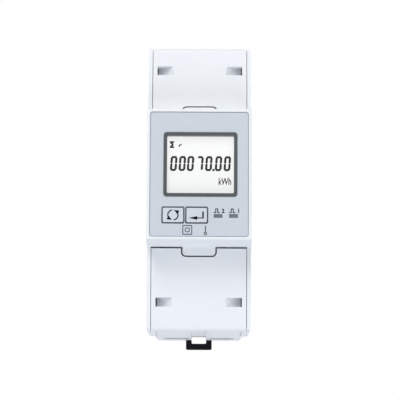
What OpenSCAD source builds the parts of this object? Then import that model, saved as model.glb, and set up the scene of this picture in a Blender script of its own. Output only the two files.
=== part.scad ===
// Single-phase energy meter, two modules wide, for a 35 mm rail.
// X is to the right, Y is backwards (the front faces -Y) and Z is up.
// The origin is the centre of the rail, on the plane of the rail's front face.

/* [Housing] */
// Width of the housing, two rail modules
body_w = 36; // [35:0.5:38]
// Height of the housing from end to end
body_h = 100; // [98:0.5:106]
// Height of the upper end above the centre of the rail
top_reach = 47; // [46:0.5:50]
// Depth from the rail's face to the front of the nose
nose_depth = 58.2; // [56:0.1:62]
// Height of the nose's front face
nose_h = 45.4; // [45:0.1:46.4]
// How much each of the nose's step walls leans out towards its root
nose_draft = 1.3; // [0.8:0.1:1.8]
// How far the terminal covers' faces lie behind the nose's front, beside the nose
cover_step = 9.5; // [8:0.1:11]
// Further fall of the cover's face towards its outer end
cover_fall = 2.5; // [1.5:0.1:3.5]
// Depth from the rail's face to the seam between the two shells
seam_depth = 20; // [19:0.1:21.5]
// Thickness of the side walls
side_wall = 1.35; // [1.1:0.05:1.6]
// Thickness of the rear shell's end walls
end_wall = 1.8; // [1.5:0.1:2.2]
// Thickness of the floor behind the boards
floor_wall = 1.8; // [1.5:0.1:2]
// Thickness of the nose's front wall
front_wall = 2; // [1.8:0.1:2.4]
// Thickness of the nose's upper and lower walls
nose_wall = 1.4; // [1.2:0.1:1.8]
// Gap that shows as the seam line between the shells
seam_gap = 0.2; // [0.1:0.05:0.3]
// Rounding of the nose's front edges
edge_round = 0.6; // [0.4:0.1:1]
// Rounding of the housing's corners, seen from the front
corner_round = 1; // [0.6:0.1:1.2]
// Width of the rear shell at its lower end
foot_w = 30; // [28:0.5:32]
// Height over which the rear shell narrows to its foot
foot_rise = 3; // [2:0.5:4]
// Width of the corner returns at the ends of the front shell
return_w = 3; // [2.6:0.1:3.4]

/* [Rail] */
// Height of the rail that the meter clips on
rail_h = 35; // [34.8:0.1:35.4]
// Thickness of the rail's lips
rail_t = 1; // [0.9:0.05:1.2]
// Room between the rail and the housing
rail_slack = 0.25; // [0.15:0.05:0.4]
// How far the housing reaches behind the rail's face
hook_depth = 4.8; // [4.4:0.1:5.4]
// How far the hooks reach behind the rail's lips
hook_catch = 2; // [1.6:0.1:2.4]

/* [Rail latch] */
// Width of the latch
latch_w = 9.6; // [9:0.1:10.4]
// Thickness of the latch
latch_t = 2.6; // [2.2:0.1:2.8]
// How far the latch's pull eye stands below the housing
latch_out = 3.5; // [3:0.1:5]
// Width of the latch's eye
eye_w = 5.4; // [4.6:0.1:5.8]
// Height of the bar that closes the eye
eye_bar = 2.2; // [1.8:0.1:2.6]
// Travel of the latch, closed to open
latch_travel = 3.5; // [3:0.1:4]
// Running clearance on each side of the latch
slide_gap = 0.15; // [0.1:0.05:0.25]
// Width of the screwdriver groove that leads to the eye
groove_w = 5.3; // [4.6:0.1:5.6]
// Depth of the screwdriver groove
groove_depth = 1.35; // [1:0.05:1.6]

/* [Terminal covers] */
// Thickness of a cover
cover_wall = 1.6; // [1.3:0.1:1.8]
// Gap at the sides and the end of a cover
cover_gap = 0.2; // [0.15:0.05:0.3]
// Gap between a cover and the nose with its tongue
nose_gap = 0.5; // [0.3:0.05:0.6]
// Rounding at the outer end of a cover
end_round = 1.4; // [1:0.1:2]
// Width of the front shell's tongues that a cover is cut out for
tongue_w = 11.4; // [10:0.1:13]
// Length of the upper tongue past the nose's root
upper_tongue = 1.2; // [1:0.1:2.5]
// Length of the lower tongue past the nose's root
lower_tongue = 3; // [2:0.1:4]
// Width of a finger grip, from its shallow end to its deep end
grip_w = 5.7; // [5:0.1:6.5]
// Height of a finger grip
grip_h = 3.2; // [2.8:0.1:3.8]
// Depth of a finger grip at its deep end
grip_depth = 4.2; // [3.4:0.1:5]
// Distance from the cover's side to a grip's deep end
grip_inset = 1.5; // [1.2:0.1:2.2]
// Width of the sealing wire's slit at a grip's deep end
seal_slit = 0.4; // [0.3:0.05:0.7]
// Distance from the upper end to the upper grips' centre
upper_grip = 8.3; // [7:0.1:10]
// Distance from the lower end to the lower grips' centre
lower_grip = 10; // [8:0.1:12]
// Depth of the stiffening skirts inside a cover
skirt_depth = 6; // [4:0.5:8]

/* [Front panel] */
// Bare margin round the front label
label_margin = 1.05; // [0.8:0.05:1.4]
// Depth of the label's seat
label_seat = 0.5; // [0.4:0.05:0.6]
// Thickness of the front label
label_t = 0.3; // [0.25:0.05:0.35]
// Width of the display's bezel
bezel_w = 25.3; // [24:0.1:26]
// Height of the display's bezel
bezel_h = 22.3; // [21.5:0.1:22.8]
// Width of the bezel's dark rim
bezel_rim = 1.15; // [0.9:0.05:1.4]
// Distance from the nose's upper edge to the bezel
bezel_drop = 8.2; // [7.8:0.1:8.6]
// How far the display lies to the right of the middle
bezel_shift = 0.4; // [0:0.1:0.6]
// Width of a key window
key_w = 7.6; // [7.2:0.1:7.8]
// Height of a key window
key_h = 5.6; // [5:0.1:5.8]
// Bar between the two key windows
key_bar = 0.5; // [0.4:0.1:0.8]
// Gap round a key's cap
key_gap = 0.35; // [0.25:0.05:0.4]
// How far the keys' caps lie behind the nose's front
key_sink = 0.1; // [0.05:0.05:0.2]
// Travel of a key
key_travel = 0.5; // [0.3:0.05:0.5]
// Share of the free height under the bezel that lies above the key windows
key_share = 0.44; // [0.38:0.01:0.48]
// How far the left key window starts to the left of the bezel
key_outset = 0.45; // [0.2:0.05:0.6]
// Width of a pulse lamp's window
lamp_w = 3; // [2.6:0.1:3.2]
// Height of a pulse lamp's window
lamp_h = 1.3; // [1.1:0.1:1.5]

/* [Boards] */
// Thickness of the circuit boards
board_t = 1.6; // [1.2:0.1:1.8]
// Clearance round a board
board_gap = 0.5; // [0.4:0.1:0.8]
// Depth from the rail's face to the back of the power board
power_depth = 24.4; // [24:0.1:25.5]
// Thickness of the display's glass
glass_t = 2; // [1.6:0.1:2.4]
// Thickness of the display's light guide
guide_t = 2.4; // [2.2:0.1:2.8]

/* [Terminals] */
// Radius of a main cable entry
cable_r = 4.8; // [4.4:0.1:5]
// Depth from the rail's face to the centre of a main cable
cable_depth = 7.5; // [7.2:0.1:7.8]
// Gap between a terminal cage and the wall that parts the two cages
cage_gap = 1.4; // [1.2:0.1:1.7]
// Length of a terminal cage along its cable
cage_len = 9; // [8:0.1:9.4]
// Wall of a terminal cage
cage_wall = 1.6; // [1.4:0.1:1.8]
// Height of the room for the conductor in a cage
wire_room = 7.6; // [7.2:0.1:7.8]
// Thickness of the current bars
bar_t = 2; // [1.8:0.1:2.4]
// Clearance between the current bars and the board posts
bar_gap = 0.2; // [0.15:0.05:0.6]
// Radius of the clamp screws' shanks
clamp_r = 2.9; // [2.6:0.05:3]
// Radius of the clamp screws' heads
clamp_head_r = 4.1; // [3.8:0.1:4.3]
// Pitch of the small signal terminals
pole_pitch = 5; // [4.8:0.05:5.1]

/* [Hidden] */
$fn = 48;

// Clearance where one fixed piece sits inside another
seat_gap = 0.1;
// Past a face, so that a cut goes through it
past = 1;

// Main planes
half_w = body_w / 2;
inner_half = half_w - side_wall;
top_z = top_reach;
bottom_z = top_reach - body_h;
front_y = -nose_depth;
step_y = front_y + cover_step;
end_y = step_y + cover_fall;
seam_y = -seam_depth;
nose_top = nose_h / 2;
nose_root = nose_top + nose_draft;

// Front panel
label_w = body_w - 2 * label_margin;
label_h = nose_h - 2 * label_margin;
label_round = 1;
bezel_top = nose_top - bezel_drop;
bezel_z = bezel_top - bezel_h / 2;
bezel_round = 1.1;
panel_gap = 0.05;
window_sink = 0.3;
window_t = 1;
window_round = 0.5;
key_field = bezel_top - bezel_h + nose_top - label_margin - key_h;
key_z = bezel_top - bezel_h - key_share * key_field - key_h / 2;
key_pitch = key_w + key_bar;
scroll_x = bezel_shift - bezel_w / 2 - key_outset + key_w / 2;
enter_x = scroll_x + key_pitch;
key_round = 0.4;
lamp_drop = 0.25;
lamp_z = key_z - lamp_drop;
lamp_field = half_w - label_margin - enter_x - key_w / 2;
left_lamp_x = enter_x + key_w / 2 + 0.25 * lamp_field;
right_lamp_x = enter_x + key_w / 2 + 0.63 * lamp_field;
lamp_body_w = 2;
lamp_body_h = 2.4;
pipe_flange_w = lamp_w + 1;
pipe_flange_h = lamp_h + 1.6;

// Depths of the stack behind the nose's front wall
wall_back = front_y + front_wall;
glass_front = wall_back + seat_gap;
glass_back = glass_front + glass_t;
guide_back = glass_back + guide_t;
board_front = guide_back;
board_back = board_front + board_t;
glass_over = 0.5;
flange_over = 0.4;
flange_front = wall_back + 0.2;
flange_back = flange_front + 0.8;
switch_side = 6;
switch_front = flange_back + key_travel + 0.3;
plunger_r = 1.6;
plunger_back = switch_front + 0.9;
plunger_well = plunger_back + key_travel + 0.2;

// Boards
nose_in_top = nose_top - nose_wall;
board_half_w = inner_half - board_gap;
board_half_h = nose_in_top - board_gap;
power_back = -power_depth;
power_front = power_back - board_t;
partition_t = 1.4;
partition_in = nose_root - nose_wall;
partition_back = power_front - 0.8;
power_low = -(partition_in - board_gap);
signal_end = 1.5;
signal_rows = floor(2 * (inner_half - signal_end) / pole_pitch);
signal_w = signal_rows * pole_pitch;
signal_deep = 8;
signal_h = 10;
signal_rise = 1.4;
signal_low = nose_root + signal_rise;
signal_high = signal_low + signal_deep;
signal_mouth = 3;
signal_mouth_in = 3.4;
signal_mouth_deep = 4.5;
signal_well_r = 1.9;
signal_well_deep = 2.4;
board_rim = 0.6;
power_high = signal_high + board_rim;
post_r = 1.9;
post_x = board_half_w - post_r;
post_room = 0.2;
post_z = partition_in - board_gap - post_r - post_room;
boss_r = 1.7;
boss_x = board_half_w - boss_r;
boss_z = board_half_h - boss_r;
small_screw_r = 1;
small_head_r = 1.7;
small_head_t = 1.3;
screw_bite = 3.2;

// Link between the boards
link_pitch = 2.54;
link_count = 8;
link_z = -3;
link_strip_t = 2.5;
socket_h = 8.5;

// Parts on the boards
part_gap = 0.8;
parts_left = -board_half_w + 1.5;
parts_right = board_half_w - 1.5;
chip_round = 0.3;
chip_t = 1.4;
controller_side = 10;
controller_x = 2;
metering_w = 12;
metering_h = 5.6;
metering_t = 1.8;
metering_z = 4;
coupler_w = 6.4;
coupler_h = 4.6;
coupler_t = 3.4;
coupler_z = 15;
bus_w = 5;
bus_h = 4;
bus_in = 4;
dropper_w = 17.5;
dropper_h = 7.5;
dropper_t = 13;
dropper_z = -11.5;
smoothing_r = 4.8;
smoothing_t = 12;
smoothing_z = 4.5;
disc_r = 4.6;
disc_t = 3.6;
disc_in = 2.5;
disc_z = -12.4;

// Terminals
terminal_x = inner_half / 2;
divider_t = 1.2;
cage_w = 2 * (terminal_x - divider_t / 2 - cage_gap);
bar_w = 2 * (post_x - post_r - bar_gap - terminal_x);
groove_wall = 1;
cage_seat = 0.15;
cage_back = -floor_wall - cage_seat;
cage_inside = cage_back - cage_wall;
bar_back = cage_inside - wire_room;
bar_front = bar_back - bar_t;
roof_gap = 0.8;
roof_inside = bar_front - roof_gap;
roof_t = 3;
cage_front = roof_inside - roof_t;
cage_end_gap = 0.5;
cage_high = top_z - end_wall - cage_end_gap;
cage_low = bottom_z + groove_depth + groove_wall + cage_end_gap;
upper_screw_z = cage_high - cage_len / 2;
lower_screw_z = cage_low + cage_len / 2;
clamp_head_t = 3.2;
clamp_rise = 3;
clamp_head_back = cage_front - clamp_rise;
deck_t = 1.5;
deck_room = 1.2;
deck_back = clamp_head_back - clamp_head_t - deck_room;
deck_over = 0.7;
deck_hole_r = clamp_head_r - deck_over;
shunt_half = 9;
bar_short = 0.6;

// Covers
tongue_round = 1.2;
skirt_t = 1.1;
skirt_start = 2;
grip_wall = 0.9;
grip_flat = 0.9;
groove_start = 0.3;
bevel_w = 0.9;
bevel_lean = 20;
slot_span = 6.4;
slot_round = 1.4;
wire_y = power_front - signal_mouth_in;
wire_pairs = floor(signal_rows / 2);

// Snap lugs between the shells
lug_w = 5;
lug_t = 1.2;
lug_rise = 5.2;
lug_root = 6;
catch_out = 0.9;
catch_w = lug_w - 0.8;
catch_len = 2.4;
catch_lead = 1.6;
lug_from_end = 7;
upper_lug_z = top_z - lug_from_end;
lower_lug_z = bottom_z + 2 * lug_from_end;

// Rail seat and latch
lower_edge = -rail_h / 2 - 2 * rail_slack;
hook_root = rail_h / 2 + rail_slack;
hook_gap = rail_t + rail_slack;
hook_tip = rail_h / 2 - hook_catch;
latch_front = hook_gap + slide_gap;
latch_back = latch_front + latch_t;
latch_top = -hook_tip;
latch_low = bottom_z - latch_out;
eye_low = latch_low + eye_bar;
eye_high = bottom_z + groove_depth;
lip_over = 0.8;
stop_w = 2.4;
stop_len = 3;
stop_drop = 8;
stop_low = bottom_z / 2 - stop_drop;
hook_taper = 1.5;
rib_low = bottom_z + 6;
rib_high = lower_edge - 3;
shoulder_h = 2;
lead_in = 1.4;

// Colours
shell_white = [0.93, 0.945, 0.955];
label_grey = [0.76, 0.79, 0.82];
slate = [0.2, 0.24, 0.28];
board_green = [0.1, 0.36, 0.2];
copper = [0.78, 0.46, 0.3];
nickel = [0.75, 0.75, 0.73];
chip_black = [0.08, 0.08, 0.09];

// A corner as an arc of radius r that touches both of its edges
function unit(v) = v / norm(v);
function fillet(a, b, c, r, steps) =
    let (
        u = unit(a - b),
        v = unit(c - b),
        open = acos(u * v),
        turn = 180 - open,
        centre = b + unit(u + v) * r / sin(open / 2),
        first = (b + u * r / tan(open / 2) - centre) / r,
        last = (b + v * r / tan(open / 2) - centre) / r
    )
    [for (i = [0 : steps])
        centre + r * (sin((1 - i / steps) * turn) * first + sin(i / steps * turn) * last) / sin(turn)];

// An outline from corners given as [x, y, radius]
function outline(corners, steps = 5) = [
    for (i = [0 : len(corners) - 1])
        let (
            n = len(corners),
            a = corners[(i + n - 1) % n],
            b = corners[i],
            c = corners[(i + 1) % n],
            r = b[2]
        )
        each (r > 0
            ? fillet([a[0], a[1]], [b[0], b[1]], [c[0], c[1]], r, steps)
            : [[b[0], b[1]]])
];

// Depth of the covers' face at a height; the reach is that of the end on its side
function face_y(z, reach) = step_y + cover_fall * (z - nose_root) / (reach - nose_root);

// An outline in (y, z) carried from x0 to x1
module span_x(x0, x1) {
    translate([x0, 0, 0]) rotate([90, 0, 90]) linear_extrude(x1 - x0) children();
}

// An outline in (x, z) carried from y0 back to y1
module span_y(y0, y1) {
    translate([0, y1, 0]) rotate([90, 0, 0]) linear_extrude(y1 - y0) children();
}

// A rectangle with round corners about a centre
module rounded(w, h, r, x = 0, z = 0) {
    translate([x, z]) {
        square([w - 2 * r, h], center = true);
        square([w, h - 2 * r], center = true);
        for (i = [-1, 1], j = [-1, 1]) translate([i * (w / 2 - r), j * (h / 2 - r)]) circle(r);
    }
}

// A block between two corners
module block(low, high) {
    translate(low) cube(high - low);
}

// A rod along Y from y0 back to y1
module rod_y(x, z, y0, y1, r) {
    translate([x, y1, z]) rotate([90, 0, 0]) cylinder(h = y1 - y0, r = r);
}

// A rod along Z from z0 up to z1
module rod_z(x, y, z0, z1, r) {
    translate([x, y, z0]) cylinder(h = z1 - z0, r = r);
}

// Middle of a pair of signal wires
function pair_x(pair) = (2 * pair - signal_rows / 2 + 1) * pole_pitch;

module left_and_right() {
    children();
    mirror([1, 0, 0]) children();
}

// Rear shell: rail seat, fixed hook, latch channel, terminal chambers and board posts
module rear_side() {
    polygon(outline([
        [seam_y, bottom_z, 0], [hook_depth, bottom_z, 1], [hook_depth, lower_edge, 0.5],
        [0, lower_edge, 0.3], [0, hook_root, 0.3], [hook_gap, hook_root, 0.3],
        [hook_gap, hook_tip, 0.3], [hook_depth, hook_tip + hook_taper, 0.6],
        [hook_depth, top_z, 1], [seam_y, top_z, 0]
    ]));
}

module rear_face(shrink_x, shrink_z) {
    polygon(outline([
        [-half_w + shrink_x, top_z - shrink_z, corner_round],
        [half_w - shrink_x, top_z - shrink_z, corner_round],
        [half_w - shrink_x, bottom_z + foot_rise, corner_round],
        [foot_w / 2 - shrink_x / 2, bottom_z + shrink_z, corner_round],
        [-foot_w / 2 + shrink_x / 2, bottom_z + shrink_z, corner_round],
        [-half_w + shrink_x, bottom_z + foot_rise, corner_round]
    ]));
}

module bar_notches(z0, z1) {
    room = 0.2;
    left_and_right() block(
        [terminal_x - bar_w / 2 - room, power_back - past, z0],
        [terminal_x + bar_w / 2 + room, bar_back, z1]
    );
}

module rear_ribs() {
    rib_front = power_back + 0.2;
    difference() {
        union() {
            for (s = [-1, 1]) block(
                [-inner_half - seat_gap, rib_front, s * (nose_root - nose_wall / 2) - partition_t / 2],
                [inner_half + seat_gap, -floor_wall + seat_gap, s * (nose_root - nose_wall / 2) + partition_t / 2]
            );
        }
        bar_notches(-nose_root - past, nose_root + past);
        // Above the seam the rib stands clear of the front shell's side walls
        left_and_right() block(
            [inner_half - seat_gap, rib_front - past, -nose_root - past],
            [half_w + past, seam_y, nose_root + past]
        );
    }
    block([-divider_t / 2, seam_y, bottom_z + end_wall - seat_gap],
        [divider_t / 2, -floor_wall + seat_gap, -nose_root]);
    block([-divider_t / 2, seam_y, nose_root],
        [divider_t / 2, -floor_wall + seat_gap, top_z - end_wall + seat_gap]);
}

module board_posts() {
    left_and_right() for (s = [-1, 1])
        rod_y(post_x, s * post_z, power_back, -floor_wall + seat_gap, post_r);
}

// Snap lugs that rise inside the front shell and catch in its side windows
module snap_lugs() {
    left_and_right() for (z = [upper_lug_z, lower_lug_z]) {
        block([inner_half - seat_gap - lug_t, seam_y - lug_rise, z - lug_w / 2],
            [inner_half - seat_gap, seam_y + lug_root, z + lug_w / 2]);
        block([inner_half - seat_gap - lug_t, seam_y + past, z - lug_w / 2],
            [inner_half + seat_gap, seam_y + lug_root, z + lug_w / 2]);
        translate([inner_half - seat_gap, seam_y - lug_rise, z - catch_w / 2]) linear_extrude(catch_w)
            polygon([[0, 0], [0, catch_len], [catch_out, catch_len], [catch_out, catch_lead]]);
    }
}

module latch_channel() {
    slot_half = latch_w / 2 + slide_gap;
    // Room for the latch, open at both ends
    block([-slot_half, hook_gap, bottom_z - past], [slot_half, latch_back + slide_gap, lower_edge + past]);
    // Mouth between the two retaining lips
    block([-latch_w / 2 + lip_over, latch_back, bottom_z - past],
        [latch_w / 2 - lip_over, hook_depth + past, lower_edge + past]);
}

module coring_pockets() {
    floor_y = hook_gap - 0.2;
    lip = 1.6;
    inboard = latch_w / 2 + slide_gap + lip;
    left_and_right() {
        span_y(floor_y, hook_depth + past)
            rounded(half_w - 2 * lip - inboard + lip, lower_edge - bottom_z - foot_rise - 2 * lip, 1,
                (inboard + half_w - lip) / 2, (lower_edge + bottom_z + foot_rise) / 2);
        span_y(floor_y, hook_depth + past)
            rounded(half_w - 2 * lip, top_z - hook_root - 4 * lip, 1,
                half_w / 2, (top_z + hook_root + 2 * lip) / 2);
    }
}

module rear_shell() {
    color(shell_white) {
        difference() {
            intersection() {
                span_x(-half_w, half_w) rear_side();
                span_y(seam_y, hook_depth + past) rear_face(0, 0);
            }
            span_y(seam_y - past, -floor_wall) rear_face(side_wall, end_wall);
            latch_channel();
            coring_pockets();
            for (x = [-terminal_x, terminal_x]) {
                rod_z(x, -cable_depth, bottom_z - past, bottom_z + end_wall + past, cable_r);
                rod_z(x, -cable_depth, top_z - end_wall - past, top_z + past, cable_r);
            }
            block([-groove_w / 2, seam_y - past, bottom_z - past],
                [groove_w / 2, hook_depth + past, bottom_z + groove_depth]);
        }
        difference() {
            union() {
                rear_ribs();
                board_posts();
                snap_lugs();
                // Thicker wall over the screwdriver groove
                block([-groove_w / 2 - groove_wall, seam_y, bottom_z + groove_depth],
                    [groove_w / 2 + groove_wall, -floor_wall + seat_gap, bottom_z + groove_depth + groove_wall]);
            }
            for (s = [-1, 1])
                rod_y(s * post_x, -s * post_z, power_back - past, power_back + screw_bite + 1, small_screw_r);
        }
        // Stop that limits the latch's travel
        block([-stop_w / 2, hook_gap - seat_gap, stop_low], [stop_w / 2, latch_back - 0.6, stop_low + stop_len]);
    }
}

// Front shell: nose, side walls, corner returns, screw decks and the covers' tongues
module front_side() {
    polygon(outline([
        [seam_y - seam_gap, bottom_z, 0], [seam_y - seam_gap, top_z, 0], [end_y, top_z, end_round],
        [step_y, nose_root, 0.3], [front_y, nose_top, edge_round], [front_y, -nose_top, edge_round],
        [step_y, -nose_root, 0.3], [end_y, bottom_z, end_round]
    ]));
}

// Side view of the nose alone, its walls reaching back to the power board
module nose_side(inset, front_inset) {
    polygon(outline([
        [partition_back, -nose_root + inset, 0], [partition_back, nose_root - inset, 0],
        [step_y, nose_root - inset, 0.3], [front_y + front_inset, nose_top - inset, edge_round],
        [front_y + front_inset, -nose_top + inset, edge_round], [step_y, -nose_root + inset, 0.3]
    ]));
}

module front_plan() {
    polygon(outline([
        [-half_w, seam_y, 0], [half_w, seam_y, 0],
        [half_w, front_y, edge_round], [-half_w, front_y, edge_round]
    ]));
}

module body_face() {
    translate([0, (top_z + bottom_z) / 2]) rounded(body_w, body_h, corner_round);
}

// One of the two screw decks; its side is +1 above the nose and -1 below it
module screw_deck(side, deck_end, screw_z, clear_to, lug_z) {
    difference() {
        mirror([0, 0, side < 0 ? 1 : 0]) block(
            [-inner_half - seat_gap, deck_back - deck_t, clear_to],
            [inner_half + seat_gap, deck_back, deck_end]
        );
        for (s = [-1, 1]) rod_y(s * terminal_x, screw_z, deck_back - deck_t - past, deck_back + past, deck_hole_r);
        // Room for the rear shell's snap lugs
        left_and_right() block(
            [inner_half - lug_t - 2 * seat_gap, seam_y - lug_rise - seat_gap, lug_z - lug_w / 2 - seat_gap],
            [inner_half, seam_y, lug_z + lug_w / 2 + seat_gap]
        );
    }
}

// Tabs on the upper deck that close the cover's wire slots behind the wires
module wire_tabs(reach) {
    for (pair = [0 : wire_pairs - 1]) block(
        [pair_x(pair) - slot_span / 2 + cover_gap, deck_back - deck_t, reach - cover_wall - 2 * cover_gap - seat_gap],
        [pair_x(pair) + slot_span / 2 - cover_gap, seam_y - seam_gap, reach]
    );
}

// Corner returns beside the end wall of a cover
module corner_returns(side, reach) {
    mirror([0, 0, side < 0 ? 1 : 0]) left_and_right() block(
        [half_w - return_w, end_y + cover_wall + cover_gap, reach - cover_wall],
        [half_w - side_wall / 2, seam_y - seam_gap, reach]
    );
}

module tongue(side, reach, length) {
    tip = nose_root + length;
    root = nose_root - nose_wall / 2;
    mirror([0, 0, side < 0 ? 1 : 0]) intersection() {
        span_x(-tongue_w / 2, tongue_w / 2) polygon([
            [face_y(root, reach), root], [face_y(tip, reach), tip],
            [face_y(tip, reach) + cover_wall, tip], [face_y(root, reach) + cover_wall, root]
        ]);
        span_y(front_y, seam_y) rounded(tongue_w, 2 * tip, tongue_round);
    }
}

// Low pad on the nose's step wall, in line with the tongue
module tongue_pad(side) {
    pad = 0.2;
    pad_start = 1.2;
    mirror([0, 0, side < 0 ? 1 : 0]) span_x(-tongue_w / 2, tongue_w / 2) polygon([
        [step_y + cover_wall / 2, nose_root - nose_wall / 2], [step_y + cover_wall / 2, nose_root + pad],
        [step_y, nose_root + pad], [front_y + pad_start, nose_top + pad_start * nose_draft / cover_step],
        [front_y + pad_start, nose_top - nose_wall / 2]
    ]);
}

module panel_windows(y0, y1, room = 0) {
    span_y(y0, y1) {
        rounded(bezel_w + 2 * (panel_gap + room), bezel_h + 2 * (panel_gap + room), bezel_round + room,
            bezel_shift, bezel_z);
        for (x = [scroll_x, enter_x]) rounded(key_w, key_h, key_round, x, key_z);
        for (x = [left_lamp_x, right_lamp_x]) translate([x, lamp_z]) square([lamp_w, lamp_h], center = true);
    }
}

module board_bosses() {
    left_and_right() for (s = [-1, 1])
        rod_y(boss_x, s * boss_z, wall_back - seat_gap, board_front, boss_r);
}

module front_shell() {
    color(shell_white) difference() {
        intersection() {
            union() {
                // Nose
                difference() {
                    span_x(-half_w, half_w) nose_side(0, 0);
                    span_x(-inner_half, inner_half) intersection() {
                        nose_side(nose_wall, front_wall);
                        translate([wall_back, -body_h]) square([seam_depth + nose_depth, 2 * body_h]);
                    }
                    block([-inner_half, partition_back - past, -partition_in],
                        [inner_half, partition_back + past, partition_in]);
                }
                // Side walls
                left_and_right() span_x(inner_half, half_w) front_side();
                corner_returns(1, top_z);
                corner_returns(-1, -bottom_z);
                screw_deck(1, top_z - cover_wall - 2 * cover_gap, upper_screw_z,
                    power_high + board_gap, upper_lug_z);
                screw_deck(-1, -bottom_z - groove_depth - cover_wall - 2 * cover_gap, lower_screw_z,
                    nose_root - seat_gap, lower_lug_z);
                wire_tabs(top_z);
                tongue(1, top_z, upper_tongue);
                tongue(-1, -bottom_z, lower_tongue);
                tongue_pad(1);
                tongue_pad(-1);
                board_bosses();
            }
            span_y(front_y - past, 0) body_face();
            linear_extrude(2 * body_h, center = true) front_plan();
        }
        // Seat of the front label, and the windows behind it
        span_y(front_y - past, front_y + label_seat)
            rounded(label_w + 2 * panel_gap, label_h + 2 * panel_gap, label_round);
        panel_windows(front_y - past, wall_back + past);
        // Windows that the snap lugs catch in
        left_and_right() for (z = [upper_lug_z, lower_lug_z]) block(
            [inner_half - seat_gap / 2, seam_y - lug_rise - seat_gap, z - lug_w / 2],
            [half_w + past, seam_y - lug_rise + catch_len + 2 * seat_gap, z + lug_w / 2]
        );
        for (s = [-1, 1]) rod_y(s * boss_x, s * boss_z, board_front - screw_bite, board_front + past, small_screw_r);
    }
}

// Terminal covers
module cover_side(reach) {
    near = nose_root + nose_gap;
    polygon(outline([
        [face_y(near, reach), near, 0.2], [end_y, reach, end_round], [end_y + cover_wall, reach, 0],
        [end_y + cover_wall, reach - cover_wall, 0], [face_y(near, reach) + cover_wall, near, 0]
    ]));
}

module cover_grips(grip_z, reach, wall) {
    deep_x = inner_half - cover_gap - grip_inset;
    face = face_y(grip_z, reach);
    left_and_right() translate([0, 0, grip_z - grip_h / 2 - wall]) linear_extrude(grip_h + 2 * wall)
        polygon([
            [deep_x - grip_w - wall, face - (wall > 0 ? 0 : past)], [deep_x + wall, face - (wall > 0 ? 0 : past)],
            [deep_x + wall, face + grip_depth + wall], [deep_x - grip_flat, face + grip_depth + wall],
            [deep_x - grip_w - wall, face + wall]
        ]);
}

module terminal_cover(reach, grip_from_end, tongue_length, with_groove, with_slots) {
    cover_half = inner_half - cover_gap;
    wall_half = half_w - return_w - cover_gap;
    grip_z = reach - grip_from_end;
    near = nose_root + nose_gap;
    cut_tip = nose_root + tongue_length + nose_gap;
    groove_top = reach - groove_depth;
    difference() {
        union() {
            span_x(-cover_half, cover_half) cover_side(reach);
            // End wall between the corner returns
            block([-wall_half, end_y + cover_wall / 2, reach - cover_wall],
                [wall_half, seam_y - seam_gap, reach]);
            // Stiffening skirts
            left_and_right() block(
                [cover_half - skirt_t, end_y + cover_wall / 2, near + skirt_start],
                [cover_half, end_y + skirt_depth, reach - cover_wall - 2 * cover_gap]
            );
            intersection() {
                cover_grips(grip_z, reach, grip_wall);
                span_x(-cover_half, cover_half) polygon([
                    [face_y(near, reach) + 0.4, near], [end_y + 0.4, reach],
                    [seam_y, reach], [seam_y, near]
                ]);
            }
            if (with_groove) block(
                [-groove_w / 2 - groove_wall, end_y + cover_wall / 2, groove_top - cover_wall],
                [groove_w / 2 + groove_wall, seam_y - seam_gap, reach - cover_wall + seat_gap]
            );
        }
        cover_grips(grip_z, reach, 0);
        // Slit for a sealing wire at the deep end of each grip
        left_and_right() block(
            [cover_half - grip_inset - seal_slit, end_y - cover_fall, grip_z - grip_h / 2],
            [cover_half - grip_inset, end_y + grip_depth + 2 * grip_wall, grip_z + grip_h / 2]
        );
        // Cut-out for the front shell's tongue
        span_y(step_y - past, end_y + cover_wall)
            rounded(tongue_w + 2 * nose_gap, 2 * cut_tip, tongue_round + nose_gap);
        // The groove deepens towards the groove of the rear shell
        if (with_groove) span_x(-groove_w / 2, groove_w / 2) polygon([
            [end_y, reach - groove_start], [seam_y - seam_gap, groove_top], [seam_y + past, groove_top],
            [seam_y + past, reach + past], [end_y - past, reach + past], [end_y - past, reach - groove_start]
        ]);
        if (with_slots) wire_slots(reach);
        // The front edges down the sides are softened
        left_and_right() soften_side(cover_half, reach);
    }
}

// Slots in a cover's end wall, one for each pair of signal wires, open at the seam
module wire_slots(reach) {
    for (pair = [0 : wire_pairs - 1]) {
        x = pair_x(pair);
        block([x - slot_span / 2, wire_y, reach - cover_wall - past], [x + slot_span / 2, seam_y, reach + past]);
        for (s = [-1, 1]) rod_z(x + s * (slot_span / 2 - slot_round), wire_y, reach - cover_wall - past,
            reach + past, slot_round);
        block([x - slot_span / 2 + slot_round, wire_y - slot_round, reach - cover_wall - past],
            [x + slot_span / 2 - slot_round, wire_y + past, reach + past]);
    }
}

// Bevel along a cover's long front edge
module soften_side(x, reach) {
    lean = atan(cover_fall / (reach - nose_root));
    translate([x, step_y, nose_root]) rotate([-lean, 0, 0]) rotate([0, 0, bevel_lean])
        translate([-bevel_w / 4, -2 * bevel_w, -past]) cube([2 * bevel_w, 2 * bevel_w, reach]);
}

module upper_cover() {
    color(shell_white) terminal_cover(top_z, upper_grip, upper_tongue, false, true);
}

module lower_cover() {
    color(shell_white) mirror([0, 0, 1]) terminal_cover(-bottom_z, lower_grip, lower_tongue, true, false);
}

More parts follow.
